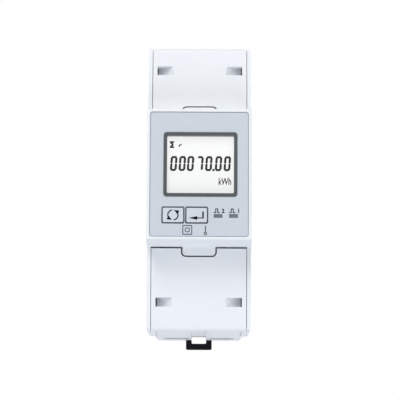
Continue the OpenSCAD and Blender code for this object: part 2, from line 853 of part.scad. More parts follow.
// Black rail latch with its pull eye
module rail_latch() {
    shoulder = 0.8;
    stop_room = 0.2;
    color(chip_black) difference() {
        union() {
            span_y(latch_front, latch_back) polygon(outline([
                [-latch_w / 2, latch_low, 0.5], [latch_w / 2, latch_low, 0.5],
                [latch_w / 2, latch_top - shoulder_h, shoulder], [latch_w / 2 - 1, latch_top, 0.4],
                [-latch_w / 2 + 1, latch_top, 0.4], [-latch_w / 2, latch_top - shoulder_h, shoulder]
            ]));
            // Rib that runs between the channel's lips
            block([-latch_w / 2 + lip_over + slide_gap, latch_back - seat_gap, rib_low],
                [latch_w / 2 - lip_over - slide_gap, hook_depth - 0.2, rib_high]);
        }
        // Eye for the screwdriver
        span_y(latch_front - past, latch_back + past)
            rounded(eye_w, eye_high - eye_low, 0.5, 0, (eye_high + eye_low) / 2);
        // Slot round the travel stop
        block([-stop_w / 2 - slide_gap, latch_front - past, stop_low - stop_room],
            [stop_w / 2 + slide_gap, hook_depth + past, stop_low + stop_len + latch_travel + stop_room]);
        // Lead-in on the hook, so that it rides over the rail's lip
        translate([0, latch_front, latch_top]) rotate([45, 0, 0])
            cube([latch_w + past, lead_in, lead_in], center = true);
    }
}

// Front panel
module front_label() {
    color(label_grey) difference() {
        span_y(front_y + label_seat - label_t, front_y + label_seat) rounded(label_w, label_h, label_round);
        panel_windows(front_y - past, front_y + label_seat + past);
    }
}

module display_bezel() {
    color(slate) difference() {
        span_y(front_y, wall_back) rounded(bezel_w, bezel_h, bezel_round, bezel_shift, bezel_z);
        span_y(front_y - past, wall_back + past) rounded(
            bezel_w - 2 * bezel_rim, bezel_h - 2 * bezel_rim, window_round, bezel_shift, bezel_z);
    }
}

module display_window() {
    color([0.85, 0.9, 0.95, 0.4]) span_y(front_y + window_sink, front_y + window_sink + window_t) rounded(
        bezel_w - 2 * bezel_rim - 2 * panel_gap, bezel_h - 2 * bezel_rim - 2 * panel_gap, window_round,
        bezel_shift, bezel_z);
}

module display_stack(y0, y1, over) {
    span_y(y0, y1) translate([bezel_shift, bezel_z]) square([bezel_w + 2 * over, bezel_h + 2 * over], center = true);
}

module display_glass() {
    color([0.93, 0.95, 0.93]) display_stack(glass_front, glass_back, glass_over);
}

module light_guide() {
    color([0.97, 0.97, 0.97]) display_stack(glass_back, guide_back, glass_over / 2);
}

// Keys: a cap in its window, a flange behind the wall and a foot on the plunger
module key_cap(x) {
    color(label_grey) {
        span_y(front_y + key_sink, flange_back)
            rounded(key_w - 2 * key_gap, key_h - 2 * key_gap, key_round, x, key_z);
        span_y(flange_front, flange_back) rounded(
            min(key_w - 2 * key_gap + 2 * flange_over, key_pitch - 0.2), key_h + 2 * flange_over, key_round, x, key_z);
    }
}

module key_plunger(x) {
    color("ivory") rod_y(x, key_z, flange_back, plunger_back, plunger_r);
}

module key_switch(x) {
    color(chip_black) difference() {
        span_y(switch_front, board_front) rounded(switch_side, switch_side, 0.5, x, key_z);
        rod_y(x, key_z, switch_front - past, plunger_well, plunger_r + 0.1);
    }
}

module scroll_key() { key_cap(scroll_x); }
module enter_key() { key_cap(enter_x); }
module scroll_plunger() { key_plunger(scroll_x); }
module enter_plunger() { key_plunger(enter_x); }
module scroll_switch() { key_switch(scroll_x); }
module enter_switch() { key_switch(enter_x); }

// Pulse lamps and the clear pipes that carry their light to the label
module light_pipe(x) {
    color([0.9, 0.85, 0.85, 0.6]) {
        span_y(front_y + label_seat - label_t, flange_back) translate([x, lamp_z])
            square([lamp_w - 2 * panel_gap, lamp_h - 2 * panel_gap], center = true);
        span_y(flange_front, flange_back) translate([x, lamp_z])
            square([pipe_flange_w, pipe_flange_h], center = true);
    }
}

module lamp(x) {
    color("whitesmoke") span_y(flange_back, board_front) rounded(lamp_body_w, lamp_body_h, chip_round, x, lamp_z);
}

module left_light_pipe() { light_pipe(left_lamp_x); }
module right_light_pipe() { light_pipe(right_lamp_x); }
module left_lamp() { lamp(left_lamp_x); }
module right_lamp() { lamp(right_lamp_x); }

// Boards and what they carry
module display_board() {
    color(board_green) difference() {
        span_y(board_front, board_back) rounded(2 * board_half_w, 2 * board_half_h, 1);
        for (s = [-1, 1]) rod_y(s * boss_x, s * boss_z, board_front - past, board_back + past, small_screw_r + 0.2);
    }
}

module small_screw(x, z, y_head, toward) {
    // The shank points to -Y when toward is -1, and to +Y when it is +1
    shank_end = y_head + toward * (board_t + screw_bite - 0.2);
    head_end = y_head - toward * small_head_t;
    rod_y(x, z, min(y_head, shank_end), max(y_head, shank_end), small_screw_r - 0.05);
    difference() {
        rod_y(x, z, min(y_head, head_end), max(y_head, head_end), small_head_r);
        block([x - 0.25, min(head_end, head_end + toward * 0.6) - (toward < 0 ? 0 : past), z - 2 * small_head_r],
            [x + 0.25, max(head_end, head_end + toward * 0.6) + (toward < 0 ? past : 0), z + 2 * small_head_r]);
    }
}

module display_board_screws() {
    color(nickel) for (s = [-1, 1]) small_screw(s * boss_x, s * boss_z, board_back, -1);
}

module controller_chip() {
    color(chip_black) span_y(board_back, board_back + chip_t)
        rounded(controller_side, controller_side, chip_round, controller_x,
            link_z - link_strip_t / 2 - controller_side / 2 - part_gap);
}

module power_board() {
    tall = power_high - power_low;
    color(board_green) difference() {
        span_y(power_front, power_back) rounded(2 * board_half_w, tall, 1, 0, (power_high + power_low) / 2);
        for (s = [-1, 1])
            rod_y(s * post_x, -s * post_z, power_front - past, power_back + past, small_screw_r + 0.2);
    }
}

module power_board_screws() {
    color(nickel) for (s = [-1, 1]) small_screw(s * post_x, -s * post_z, power_front, 1);
}

// Link between the boards: header and socket strips with a row of pins
module link_header() {
    color(chip_black) span_y(power_front - link_strip_t, power_front) translate([0, link_z])
        square([link_count * link_pitch, link_strip_t], center = true);
}

module link_socket() {
    color(chip_black) span_y(board_back, board_back + socket_h) translate([0, link_z])
        square([link_count * link_pitch, link_strip_t], center = true);
}

module link_pins() {
    pin_side = 0.64;
    color("gold") for (i = [0 : link_count - 1])
        span_y(board_back + socket_h, power_front - link_strip_t)
            translate([(i - (link_count - 1) / 2) * link_pitch, link_z]) square(pin_side, center = true);
}

// A part on the power board: width, height and thickness, placed by its nearer side edge
module board_part(wide, high, thick, r, left_edge, z) {
    span_y(power_front - thick, power_front) rounded(wide, high, r, left_edge + wide / 2, z);
}

module metering_chip() {
    color(chip_black)
        board_part(metering_w, metering_h, metering_t, chip_round, parts_left + 0.5, metering_z);
}

module bus_chip() {
    color(chip_black)
        board_part(bus_w, bus_h, chip_t, chip_round, parts_right - bus_w - bus_in, coupler_z);
}

module pulse_couplers() {
    color(chip_black) for (i = [0, 1])
        board_part(coupler_w, coupler_h, coupler_t, chip_round, parts_left + i * (coupler_w + part_gap), coupler_z);
}

module dropper_capacitor() {
    color([0.85, 0.7, 0.2]) board_part(dropper_w, dropper_h, dropper_t, dropper_h / 9, parts_left, dropper_z);
}

module smoothing_capacitor() {
    color([0.15, 0.2, 0.45])
        rod_y(parts_right - smoothing_r, smoothing_z, power_front - smoothing_t, power_front, smoothing_r);
}

module surge_disc() {
    color([0.1, 0.3, 0.6]) translate([parts_right - disc_in, power_front - disc_r, disc_z]) rotate([0, 90, 0])
        cylinder(h = disc_t, r = disc_r, center = true);
}

// Current path: copper bars on both sides of the shunt, and the neutral bar
module current_bar(x, z0, z1) {
    block([x - bar_w / 2, bar_front, z0], [x + bar_w / 2, bar_back, z1]);
}

module line_bar_in() {
    color(copper) current_bar(-terminal_x, cage_low + bar_short, -shunt_half);
}

module current_shunt() {
    waist = 1.4;
    color([0.55, 0.42, 0.36]) difference() {
        current_bar(-terminal_x, -shunt_half, shunt_half);
        for (s = [-1, 1]) translate([-terminal_x + s * (bar_w / 2 + waist), bar_back + past, 0]) rotate([90, 0, 0])
            cylinder(h = bar_t + 2 * past, r = 2 * waist);
    }
}

module line_bar_out() {
    color(copper) current_bar(-terminal_x, shunt_half, cage_high - bar_short);
}

module neutral_bar() {
    color(copper) current_bar(terminal_x, cage_low + bar_short, cage_high - bar_short);
}

module sense_pins() {
    pin_r = 0.6;
    clear_of_shunt = 1.5;
    color(nickel) {
        for (s = [-1, 1])
            rod_y(-terminal_x, s * (shunt_half + clear_of_shunt), power_back, bar_front, pin_r);
        rod_y(terminal_x, 0, power_back, bar_front, pin_r);
    }
}

// Terminal cages and their clamp screws
module cage(x, z) {
    color(nickel) difference() {
        span_y(cage_front, cage_back) rounded(cage_w, cage_len, 0.6, x, z);
        block([x - cage_w / 2 + cage_wall, roof_inside, z - cage_len],
            [x + cage_w / 2 - cage_wall, cage_inside, z + cage_len]);
        rod_y(x, z, cage_front - past, roof_inside + past, clamp_r + 0.05);
    }
}

module clamp_screw(x, z) {
    slot_w = 1.2;
    slot_deep = 1.6;
    cross_half = 2.2;
    color(nickel) difference() {
        union() {
            rod_y(x, z, clamp_head_back, bar_front, clamp_r);
            rod_y(x, z, clamp_head_back - clamp_head_t, clamp_head_back, clamp_head_r);
        }
        block([x - slot_w / 2, clamp_head_back - clamp_head_t - past, z - clamp_head_r - past],
            [x + slot_w / 2, clamp_head_back - clamp_head_t + slot_deep, z + clamp_head_r + past]);
        block([x - cross_half, clamp_head_back - clamp_head_t - past, z - slot_w / 2],
            [x + cross_half, clamp_head_back - clamp_head_t + slot_deep, z + slot_w / 2]);
    }
}

module cage_line_in() { cage(-terminal_x, lower_screw_z); }
module cage_neutral_in() { cage(terminal_x, lower_screw_z); }
module cage_line_out() { cage(-terminal_x, upper_screw_z); }
module cage_neutral_out() { cage(terminal_x, upper_screw_z); }
module screw_line_in() { clamp_screw(-terminal_x, lower_screw_z); }
module screw_neutral_in() { clamp_screw(terminal_x, lower_screw_z); }
module screw_line_out() { clamp_screw(-terminal_x, upper_screw_z); }
module screw_neutral_out() { clamp_screw(terminal_x, upper_screw_z); }

// Signal terminals for the pulse outputs and the data bus
module signal_terminals() {
    color([0.25, 0.5, 0.35]) difference() {
        block([-signal_w / 2, power_front - signal_h, signal_low], [signal_w / 2, power_front, signal_high]);
        for (i = [0 : signal_rows - 1]) {
            x = (i - (signal_rows - 1) / 2) * pole_pitch;
            rod_y(x, (signal_low + signal_high) / 2, power_front - signal_h - past,
                power_front - signal_h + signal_well_deep, signal_well_r);
            block([x - signal_mouth / 2, wire_y - signal_mouth / 2, signal_high - signal_mouth_deep],
                [x + signal_mouth / 2, wire_y + signal_mouth / 2, signal_high + past]);
        }
    }
}

module signal_screws() {
    head_t = 1.4;
    y_seat = power_front - signal_h + signal_well_deep;
    color(nickel) for (i = [0 : signal_rows - 1]) {
        x = (i - (signal_rows - 1) / 2) * pole_pitch;
        difference() {
            rod_y(x, (signal_low + signal_high) / 2, y_seat - head_t, y_seat, signal_well_r - 0.1);
            block([x - 2, y_seat - head_t - past, (signal_low + signal_high) / 2 - 0.25],
                [x + 2, y_seat - head_t + 0.6, (signal_low + signal_high) / 2 + 0.25]);
        }
    }
}

rear_shell();
front_shell();
upper_cover();
lower_cover();
rail_latch();
front_label();
display_bezel();
display_window();
display_glass();
light_guide();
scroll_key();
enter_key();
scroll_plunger();
enter_plunger();
scroll_switch();
enter_switch();
left_light_pipe();
right_light_pipe();
left_lamp();
right_lamp();
display_board();
display_board_screws();
controller_chip();
power_board();
power_board_screws();
link_header();
link_pins();
link_socket();
metering_chip();
bus_chip();
pulse_couplers();
dropper_capacitor();
smoothing_capacitor();
surge_disc();
line_bar_in();
current_shunt();
line_bar_out();
neutral_bar();
sense_pins();
cage_line_in();
cage_neutral_in();
cage_line_out();
cage_neutral_out();
screw_line_in();
screw_neutral_in();
screw_line_out();
screw_neutral_out();
signal_terminals();
signal_screws();
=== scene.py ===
"""Dressed model of a two-module energy meter for a 35 mm rail.

The solids of the meter come in as a fixed frame. This script gives every solid its finish, models
the printed marks, a painted shade line round the label, the display's segments and the lamps'
lenses, and sets the camera and the studio. The display's glow is partly painted light and shade.
Lengths are millimetres, except where a docstring says metres, in the meter's own frame: X to the
right, Y backwards and Z up, with the origin at the centre of the rail seat.
"""
import logging
import math
from collections.abc import Callable
from dataclasses import dataclass, field
from enum import Enum
from functools import cache

import bmesh
import bpy
from mathutils import Matrix, Vector


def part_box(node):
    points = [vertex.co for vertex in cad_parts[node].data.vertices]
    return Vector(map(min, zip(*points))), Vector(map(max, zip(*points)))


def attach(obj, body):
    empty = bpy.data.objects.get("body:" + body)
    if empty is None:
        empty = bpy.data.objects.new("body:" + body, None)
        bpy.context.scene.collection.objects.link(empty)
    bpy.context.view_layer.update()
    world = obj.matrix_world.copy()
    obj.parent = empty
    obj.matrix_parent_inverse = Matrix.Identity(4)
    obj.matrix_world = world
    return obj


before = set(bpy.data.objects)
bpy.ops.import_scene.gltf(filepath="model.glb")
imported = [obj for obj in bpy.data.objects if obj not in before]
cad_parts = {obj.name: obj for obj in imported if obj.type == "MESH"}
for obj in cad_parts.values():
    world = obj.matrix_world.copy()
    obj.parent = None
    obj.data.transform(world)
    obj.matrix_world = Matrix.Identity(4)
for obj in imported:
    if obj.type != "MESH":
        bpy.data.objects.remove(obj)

LOG = logging.getLogger("meter")
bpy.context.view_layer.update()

# A millimetre, how near points merge, and how near they count as in one plane, in metres
MM = 0.001
MERGE = 1e-7
TOUCH = 1e-6

# Full light in a screen colour, and the least share of its length that a run has on its axis
FULL = 255
ALONG = 0.9

# Thickness of print in millimetres, and the steps that round its strokes, outlines and letters
PRINT = 0.03
STROKE_STEPS = 2
OUTLINE_STEPS = 4
LETTER_STEPS = 3

Triple = tuple[float, float, float]
Span = tuple[float, float]
Quad = tuple[float, float, float, float]
Links = dict[str | int, object]
Obj = bpy.types.Object
Node = bpy.types.Node
Socket = bpy.types.NodeSocket
Tree = bpy.types.NodeTree


class Way(Enum):
    """Direction in which a metal's grain runs, as the grain's scale along each axis."""

    ACROSS = (1.0, 30.0, 30.0)
    DEEP = (30.0, 1.0, 30.0)
    UP = (30.0, 30.0, 1.0)


class Bar(Enum):
    """The bars of a display digit that a 0 or a 7 has."""

    TOP = "a"
    UPPER_RIGHT = "b"
    LOWER_RIGHT = "c"
    BOTTOM = "d"
    LOWER_LEFT = "e"
    UPPER_LEFT = "f"


def linear(colour: Triple) -> Quad:
    """Turn a screen colour into the shader's linear colour, by the standard screen curve.

    Args:
        colour: Red, green and blue, 0 to 255.

    Returns:
        Linear red, green, blue and full alpha.
    """
    scaled = [part / FULL for part in colour]
    bent = [part / 12.92 if part <= 0.04045 else ((part + 0.055) / 1.055) ** 2.4
            for part in scaled]
    return (bent[0], bent[1], bent[2], 1.0)


def metres(x: float, y: float, z: float) -> Vector:
    """A point given in millimetres, in metres."""
    return Vector((x, y, z)) * MM


def deselect() -> None:
    """Take every object out of the selection."""
    for obj in list(bpy.context.selected_objects):
        obj.select_set(False)


def only(obj: Obj) -> None:
    """Make one object the whole selection and the active one.

    Args:
        obj: The object.
    """
    deselect()
    obj.select_set(True)
    bpy.context.view_layer.objects.active = obj


def named(obj: Obj, name: str) -> Obj:
    """Name an object and its mesh.

    Args:
        obj: The object.
        name: Its new name.

    Returns:
        The same object.
    """
    obj.name = name
    obj.data.name = name
    return obj


def settle(obj: Obj, name: str) -> Obj:
    """Put a new object's place, turn and scale into its mesh and name it.

    Args:
        obj: The object, just added by an operator.
        name: The piece's name.

    Returns:
        The same object, at the origin, unturned and unscaled.
    """
    only(obj)
    bpy.ops.object.transform_apply(location=True, rotation=True, scale=True)
    return named(obj, name)


def pick(obj: Obj, kind: str, test: Callable[..., bool]) -> None:
    """Select, in edit mode, the elements that pass a test.

    Args:
        obj: The object, in edit mode.
        kind: "VERT", "EDGE" or "FACE".
        test: Says whether an element is selected.
    """
    bpy.ops.mesh.select_mode(type=kind)
    bpy.ops.mesh.select_all(action="DESELECT")
    mesh = bmesh.from_edit_mesh(obj.data)
    for element in {"VERT": mesh.verts, "EDGE": mesh.edges, "FACE": mesh.faces}[kind]:
        if test(element):
            element.select_set(True)
    mesh.select_flush_mode()
    bmesh.update_edit_mesh(obj.data)


def sheet_on(node: str, thickness: float = PRINT) -> Span:
    """Front and back of a thin sheet that lies on a solid's front.

    Args:
        node: The solid.
        thickness: Thickness of the sheet, in millimetres.

    Returns:
        Front and back, in millimetres.
    """
    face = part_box(node)[0][1] / MM
    return (face - thickness, face)


def middle_of(node: str) -> Span:
    """Middle of a solid seen from the front, in millimetres across and up."""
    low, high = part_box(node)
    return ((low[0] + high[0]) / 2 / MM, (low[2] + high[2]) / 2 / MM)


def along_depth(edge: bmesh.types.BMEdge) -> bool:
    """Whether an edge runs along Y."""
    run = edge.verts[1].co - edge.verts[0].co
    return abs(run.y) > ALONG * run.length


def tidy(obj: Obj) -> Obj:
    """Merge an object's doubled points and turn its faces outwards.

    Args:
        obj: The object.

    Returns:
        The same object.
    """
    only(obj)
    bpy.ops.object.mode_set(mode="EDIT")
    bpy.ops.mesh.select_all(action="SELECT")
    bpy.ops.mesh.remove_doubles(threshold=MERGE)
    bpy.ops.mesh.normals_make_consistent(inside=False)
    bpy.ops.object.mode_set(mode="OBJECT")
    return obj


def slab(name: str, x: Span, y: Span, z: Span, corner: float = 0.0,
         steps: int = STROKE_STEPS) -> Obj:
    """A flat slab whose four upright corners are rounded, or cut to points.

    Args:
        name: The piece's name.
        x: Left and right, in millimetres.
        y: Front and back.
        z: Bottom and top.
        corner: Offset of the corners' bevel.
        steps: Segments of the bevel; one gives a straight cut.

    Returns:
        The slab.
    """
    deselect()
    bpy.ops.mesh.primitive_cube_add(size=1, location=metres(sum(x) / 2, sum(y) / 2, sum(z) / 2))
    obj = bpy.context.active_object
    obj.scale = metres(x[1] - x[0], y[1] - y[0], z[1] - z[0])
    settle(obj, name)
    if corner:
        bpy.ops.object.mode_set(mode="EDIT")
        pick(obj, "EDGE", along_depth)
        bpy.ops.mesh.bevel(offset=corner * MM, segments=steps, affect="EDGES")
        bpy.ops.object.mode_set(mode="OBJECT")
    return obj


def outline_slab(name: str, x: Span, y: Span, z: Span, line: float, corner: float) -> Obj:
    """A thin rectangular frame with round corners.

    Args:
        name: The piece's name.
        x: Left and right, in millimetres.
        y: Front and back.
        z: Bottom and top.
        line: Width of the frame's line.
        corner: Radius of the outer corners.

    Returns:
        The frame.
    """
    obj = slab(name, x, y, z, corner, OUTLINE_STEPS)
    bpy.ops.object.mode_set(mode="EDIT")
    pick(obj, "FACE", lambda face: abs(face.normal.y) > ALONG)
    bpy.ops.mesh.inset(thickness=line * MM, depth=0, use_individual=True)
    bpy.ops.mesh.bridge_edge_loops()
    bpy.ops.object.mode_set(mode="OBJECT")
    return tidy(obj)


def twin(obj: Obj, place: Matrix) -> Obj:
    """Copy a piece with a mesh of its own, placed in its mesh.

    Args:
        obj: The piece to copy.
        place: Where the copy's mesh goes.

    Returns:
        The copy.
    """
    copy = obj.copy()
    copy.data = obj.data.copy()
    copy.data.transform(place)
    bpy.context.collection.objects.link(copy)
    return copy


def joined(pieces: list[Obj], name: str) -> Obj:
    """Join several objects into one piece.

    Args:
        pieces: The objects; the first one stays.
        name: The joined piece's name.

    Returns:
        The joined object.
    """
    only(pieces[0])
    for obj in pieces[1:]:
        obj.select_set(True)
    bpy.ops.object.join()
    return named(pieces[0], name)


def lettering(name: str, words: str, x: float, z: float, height: float, y: Span,
              squeeze: float = 1.0, lean: float = 0.0, weight: float = 0.02) -> Obj:
    """A word or number as a thin flat mesh that faces the front.

    Args:
        name: The piece's name.
        words: What it says.
        x: Middle, in millimetres.
        z: Middle.
        height: Height of the lettering.
        y: Front and back of the thin mesh.
        squeeze: Width against the font's own.
        lean: Lean to the right, as a slope.
        weight: How much bolder the letters are than the font's own.

    Returns:
        The lettering, in its place.
    """
    deselect()
    bpy.ops.object.text_add()
    obj = bpy.context.active_object
    obj.data.body = words
    obj.data.resolution_u = LETTER_STEPS
    obj.data.extrude = 0.5  # to either side, so that the letters are one deep
    obj.data.offset = weight
    bpy.ops.object.convert(target="MESH")
    obj = bpy.context.active_object
    low = Vector([min(v.co[i] for v in obj.data.vertices) for i in range(3)])
    high = Vector([max(v.co[i] for v in obj.data.vertices) for i in range(3)])
    scale = height * MM / (high.y - low.y)
    leaning = Matrix.Identity(4)
    leaning[0][1] = lean
    obj.data.transform(
        Matrix.Translation(metres(x, sum(y) / 2, z))
        @ Matrix.Rotation(math.pi / 2, 4, "X")
        @ leaning
        @ Matrix.Diagonal((scale * squeeze, scale, (y[1] - y[0]) * MM, 1))
        @ Matrix.Translation(-(low + high) / 2)
    )
    return tidy(named(obj, name))


class Graph:
    """A node tree, with short calls that add and link its nodes."""

    def __init__(self, tree: Tree) -> None:
        """Start on a tree.

        Args:
            tree: The node tree of a material, a world or a group.
        """
        self.tree = tree
        tree.nodes.clear()

    def add(self, kind: str, links: Links | None = None, **settings: object) -> Node:
        """Add a node.

        Args:
            kind: The node's type after "ShaderNode", such as "Math".
            links: For each input, the socket that feeds it or the value it holds.
            settings: Attributes of the node.

        Returns:
            The node.
        """
        node = self.tree.nodes.new("ShaderNode" + kind)
        for key, value in settings.items():
            setattr(node, key, value)
        for key, value in (links or {}).items():
            if isinstance(value, Socket):
                self.tree.links.new(value, node.inputs[key])
            else:
                node.inputs[key].default_value = value
        return node

    def group(self, tree: Tree, links: Links) -> Node:
        """Add a shared effect's group with its own values."""
        return self.add("Group", links, node_tree=tree)

    def link(self, start: Socket, end: Socket) -> None:
        """Link an output to an input."""
        self.tree.links.new(start, end)

    def place(self) -> Socket:
        """Where a point lies, in its object's own frame."""
        return self.add("TexCoord").outputs["Object"]

    def noise(self, place: Socket, scale: object, detail: float, roughness: float = 0.5) -> Socket:
        """A soft noise over a surface."""
        links = {"Vector": place, "Scale": scale, "Detail": detail, "Roughness": roughness}
        return self.add("TexNoise", links).outputs["Fac"]

    def mapped(self, value: Socket, to: Span = (0.0, 1.0), start: Span = (0.0, 1.0)) -> Socket:
        """A value taken from the span where it starts to another one."""
        links = {"Value": value, "From Min": start[0], "From Max": start[1], "To Min": to[0],
                 "To Max": to[1]}
        return self.add("MapRange", links).outputs["Result"]

    def mixed(self, share: Socket, first: object, second: object) -> Socket:
        """A colour between two others, by the second one's share."""
        return self.add("Mix", {0: share, 6: first, 7: second}, data_type="RGBA").outputs[2]

    def larger(self, first: Socket, second: Socket) -> Socket:
        """The larger of two values."""
        return self.add("Math", {0: first, 1: second}, operation="MAXIMUM").outputs[0]


def effect(name: str, inputs: dict[str, tuple[str, object]],
           outputs: dict[str, str]) -> tuple[Graph, dict[str, Socket], dict[str, Socket]]:
    """Start a shared effect as a node group with named sockets.

    Args:
        name: The group's name.
        inputs: For each input, its socket type and default value.
        outputs: For each output, its socket type.

    Returns:
        The group's graph, its input sockets and its output sockets.
    """
    tree = bpy.data.node_groups.new(name, "ShaderNodeTree")
    for key, (kind, value) in inputs.items():
        socket = tree.interface.new_socket(name=key, in_out="INPUT", socket_type=kind)
        socket.default_value = value
    for key, kind in outputs.items():
        tree.interface.new_socket(name=key, in_out="OUTPUT", socket_type=kind)
    graph = Graph(tree)
    start = tree.nodes.new("NodeGroupInput")
    end = tree.nodes.new("NodeGroupOutput")
    given = {key: start.outputs[key] for key in inputs}
    wanted = {key: end.inputs[key] for key in outputs}
    return graph, given, wanted


@cache
def spark_effect() -> Tree:
    """The fine spark-eroded texture of a moulding, as a height, and a slow mask for its gloss.

    Returns:
        The group's tree.
    """
    graph, given, wanted = effect(
        "SparkTexture",
        {"Size": ("NodeSocketFloat", 0.0004)},
        {"Height": "NodeSocketFloat", "Mask": "NodeSocketFloat"},
    )
    place = graph.place()
    scale = graph.add("Math", {0: 1.0, 1: given["Size"]}, operation="DIVIDE").outputs[0]
    graph.link(graph.noise(place, scale, detail=2.0, roughness=0.6), wanted["Height"])
    graph.link(graph.noise(place, 90.0, detail=1.0), wanted["Mask"])
    return graph.tree


@cache
def grain_effect() -> Tree:
    """Fine lines drawn along a metal, as a height.

    Returns:
        The group's tree.
    """
    graph, given, wanted = effect(
        "DrawnGrain",
        {"Stretch": ("NodeSocketVector", Way.ACROSS.value), "Scale": ("NodeSocketFloat", 160.0)},
        {"Height": "NodeSocketFloat"},
    )
    drawn = graph.add("VectorMath", {0: graph.place(), 1: given["Stretch"]}, operation="MULTIPLY")
    graph.link(graph.noise(drawn.outputs[0], given["Scale"], detail=2.0), wanted["Height"])
    return graph.tree


@cache
def drift_effect() -> Tree:
    """A slow change from one colour to another over a surface.

    Returns:
        The group's tree.
    """
    graph, given, wanted = effect(
        "ToneDrift",
        {"Light": ("NodeSocketColor", (1, 1, 1, 1)), "Dark": ("NodeSocketColor", (0, 0, 0, 1)),
         "Scale": ("NodeSocketFloat", 100.0)},
        {"Color": "NodeSocketColor"},
    )
    noise = graph.noise(graph.place(), given["Scale"], detail=3.0)
    spread = graph.mapped(noise, start=(0.3, 0.7))
    graph.link(graph.mixed(spread, given["Dark"], given["Light"]), wanted["Color"])
    return graph.tree


@dataclass(frozen=True)
class Finish:
    """A finish with a colour and a roughness; each kind adds what its surface has.

    Attributes:
        name: The material's name.
        colour: Screen colour, 0 to 255.
        roughness: Roughness of the surface.
    """

    name: str
    colour: Triple
    roughness: float = 0.5

    def material(self) -> bpy.types.Material:
        """The finish's material, built at its first use.

        Returns:
            The material.
        """
        found = bpy.data.materials.get(self.name)
        if found:
            return found
        made = bpy.data.materials.new(self.name)
        made.use_nodes = True
        graph = Graph(made.node_tree)
        surface = graph.add("BsdfPrincipled", {"Base Color": linear(self.colour),
                                               "Roughness": self.roughness})
        graph.add("OutputMaterial", {"Surface": surface.outputs[0]})
        self.shade(graph, surface)
        return made

    def shade(self, graph: Graph, surface: Node) -> None:
        """Add what this kind of finish has.

        Args:
            graph: The material's graph.
            surface: Its Principled shader.
        """

    def tone(self, graph: Graph, surface: Node, change: float, scale: float) -> None:
        """Let the colour drift a little over the surface.

        Args:
            graph: The material's graph.
            surface: Its Principled shader.
            change: How much darker the dark tone is, 0 to 1.
            scale: Scale of the drift.
        """
        light = linear(self.colour)
        dark = tuple(part * (1 - change) for part in light[:3]) + (1.0,)
        drift = graph.group(drift_effect(), {"Light": light, "Dark": dark, "Scale": scale})
        graph.link(drift.outputs["Color"], surface.inputs["Base Color"])

    def relief(self, graph: Graph, surface: Node, height: Socket,
               depth: float, strength: float) -> None:
        """Feed a height to the shader's normal.

        Args:
            graph: The material's graph.
            surface: Its Principled shader.
            height: The height's socket.
            depth: Depth of the relief, in metres.
            strength: Strength of the bump.
        """
        bump = graph.add("Bump", {"Height": height, "Distance": depth, "Strength": strength})
        graph.link(bump.outputs["Normal"], surface.inputs["Normal"])

    def dress(self, obj: Obj) -> None:
        """Give this finish to every face of an object.

        Args:
            obj: The object.
        """
        obj.data.materials.clear()
        obj.data.materials.append(self.material())
        for face in obj.data.polygons:
            face.material_index = 0


@dataclass(frozen=True)
class Moulding(Finish):
    """Moulded plastic with a fine spark texture.

    Attributes:
        texture: Size of the texture's grains, in metres.
        depth: Depth of the texture.
        change: Drift of the tone.
        shine: How strongly the surface mirrors its surroundings.
    """

    texture: float = 0.0004
    depth: float = 0.00001
    change: float = 0.02
    shine: float = 0.4

    def shade(self, graph: Graph, surface: Node) -> None:
        """Add the texture, its effect on the gloss, and the drift of the tone."""
        spark = graph.group(spark_effect(), {"Size": self.texture})
        self.relief(graph, surface, spark.outputs["Height"], self.depth, strength=0.5)
        swing = 0.05
        least, most = self.roughness - swing, self.roughness + swing
        gloss = graph.mapped(spark.outputs["Mask"], (least, most))
        graph.link(gloss, surface.inputs["Roughness"])
        self.tone(graph, surface, self.change, scale=60.0)
        surface.inputs["Specular IOR Level"].default_value = self.shine


@dataclass(frozen=True)
class Film(Finish):
    """Printed film or ink with a faint tooth.

    Attributes:
        shine: How strongly the surface mirrors its surroundings.
    """

    shine: float = 0.3

    def shade(self, graph: Graph, surface: Node) -> None:
        """Add the tooth and the print's unevenness."""
        spark = graph.group(spark_effect(), {"Size": 0.00025})
        self.relief(graph, surface, spark.outputs["Height"], depth=0.000004, strength=0.4)
        self.tone(graph, surface, change=0.03, scale=400.0)
        surface.inputs["Specular IOR Level"].default_value = self.shine


@dataclass(frozen=True)
class Metal(Finish):
    """Drawn or plated metal.

    Attributes:
        way: Direction of the grain.
        depth: Depth of the grain, in metres.
    """

    way: Way = Way.UP
    depth: float = 0.000006

    def shade(self, graph: Graph, surface: Node) -> None:
        """Add the grain and the tarnish."""
        surface.inputs["Metallic"].default_value = 1.0
        grain = graph.group(grain_effect(), {"Stretch": self.way.value, "Scale": 160.0})
        self.relief(graph, surface, grain.outputs["Height"], self.depth, strength=0.6)
        self.tone(graph, surface, change=0.12, scale=250.0)


@dataclass(frozen=True)
class Clear(Finish):
    """Clear or frosted plastic that lets what lies behind it show.

    Attributes:
        cover: How much the surface hides, 0 to 1.
    """

    cover: float = 0.1

    def shade(self, graph: Graph, surface: Node) -> None:
        """Make the surface mostly see-through, with a faint haze of dust."""
        spark = graph.group(spark_effect(), {"Size": 0.002})
        least, most = self.cover * 0.8, self.cover * 1.2
        haze = graph.mapped(spark.outputs["Height"], (least, most))
        graph.link(haze, surface.inputs["Alpha"])
        surface.inputs["Specular IOR Level"].default_value = 0.3


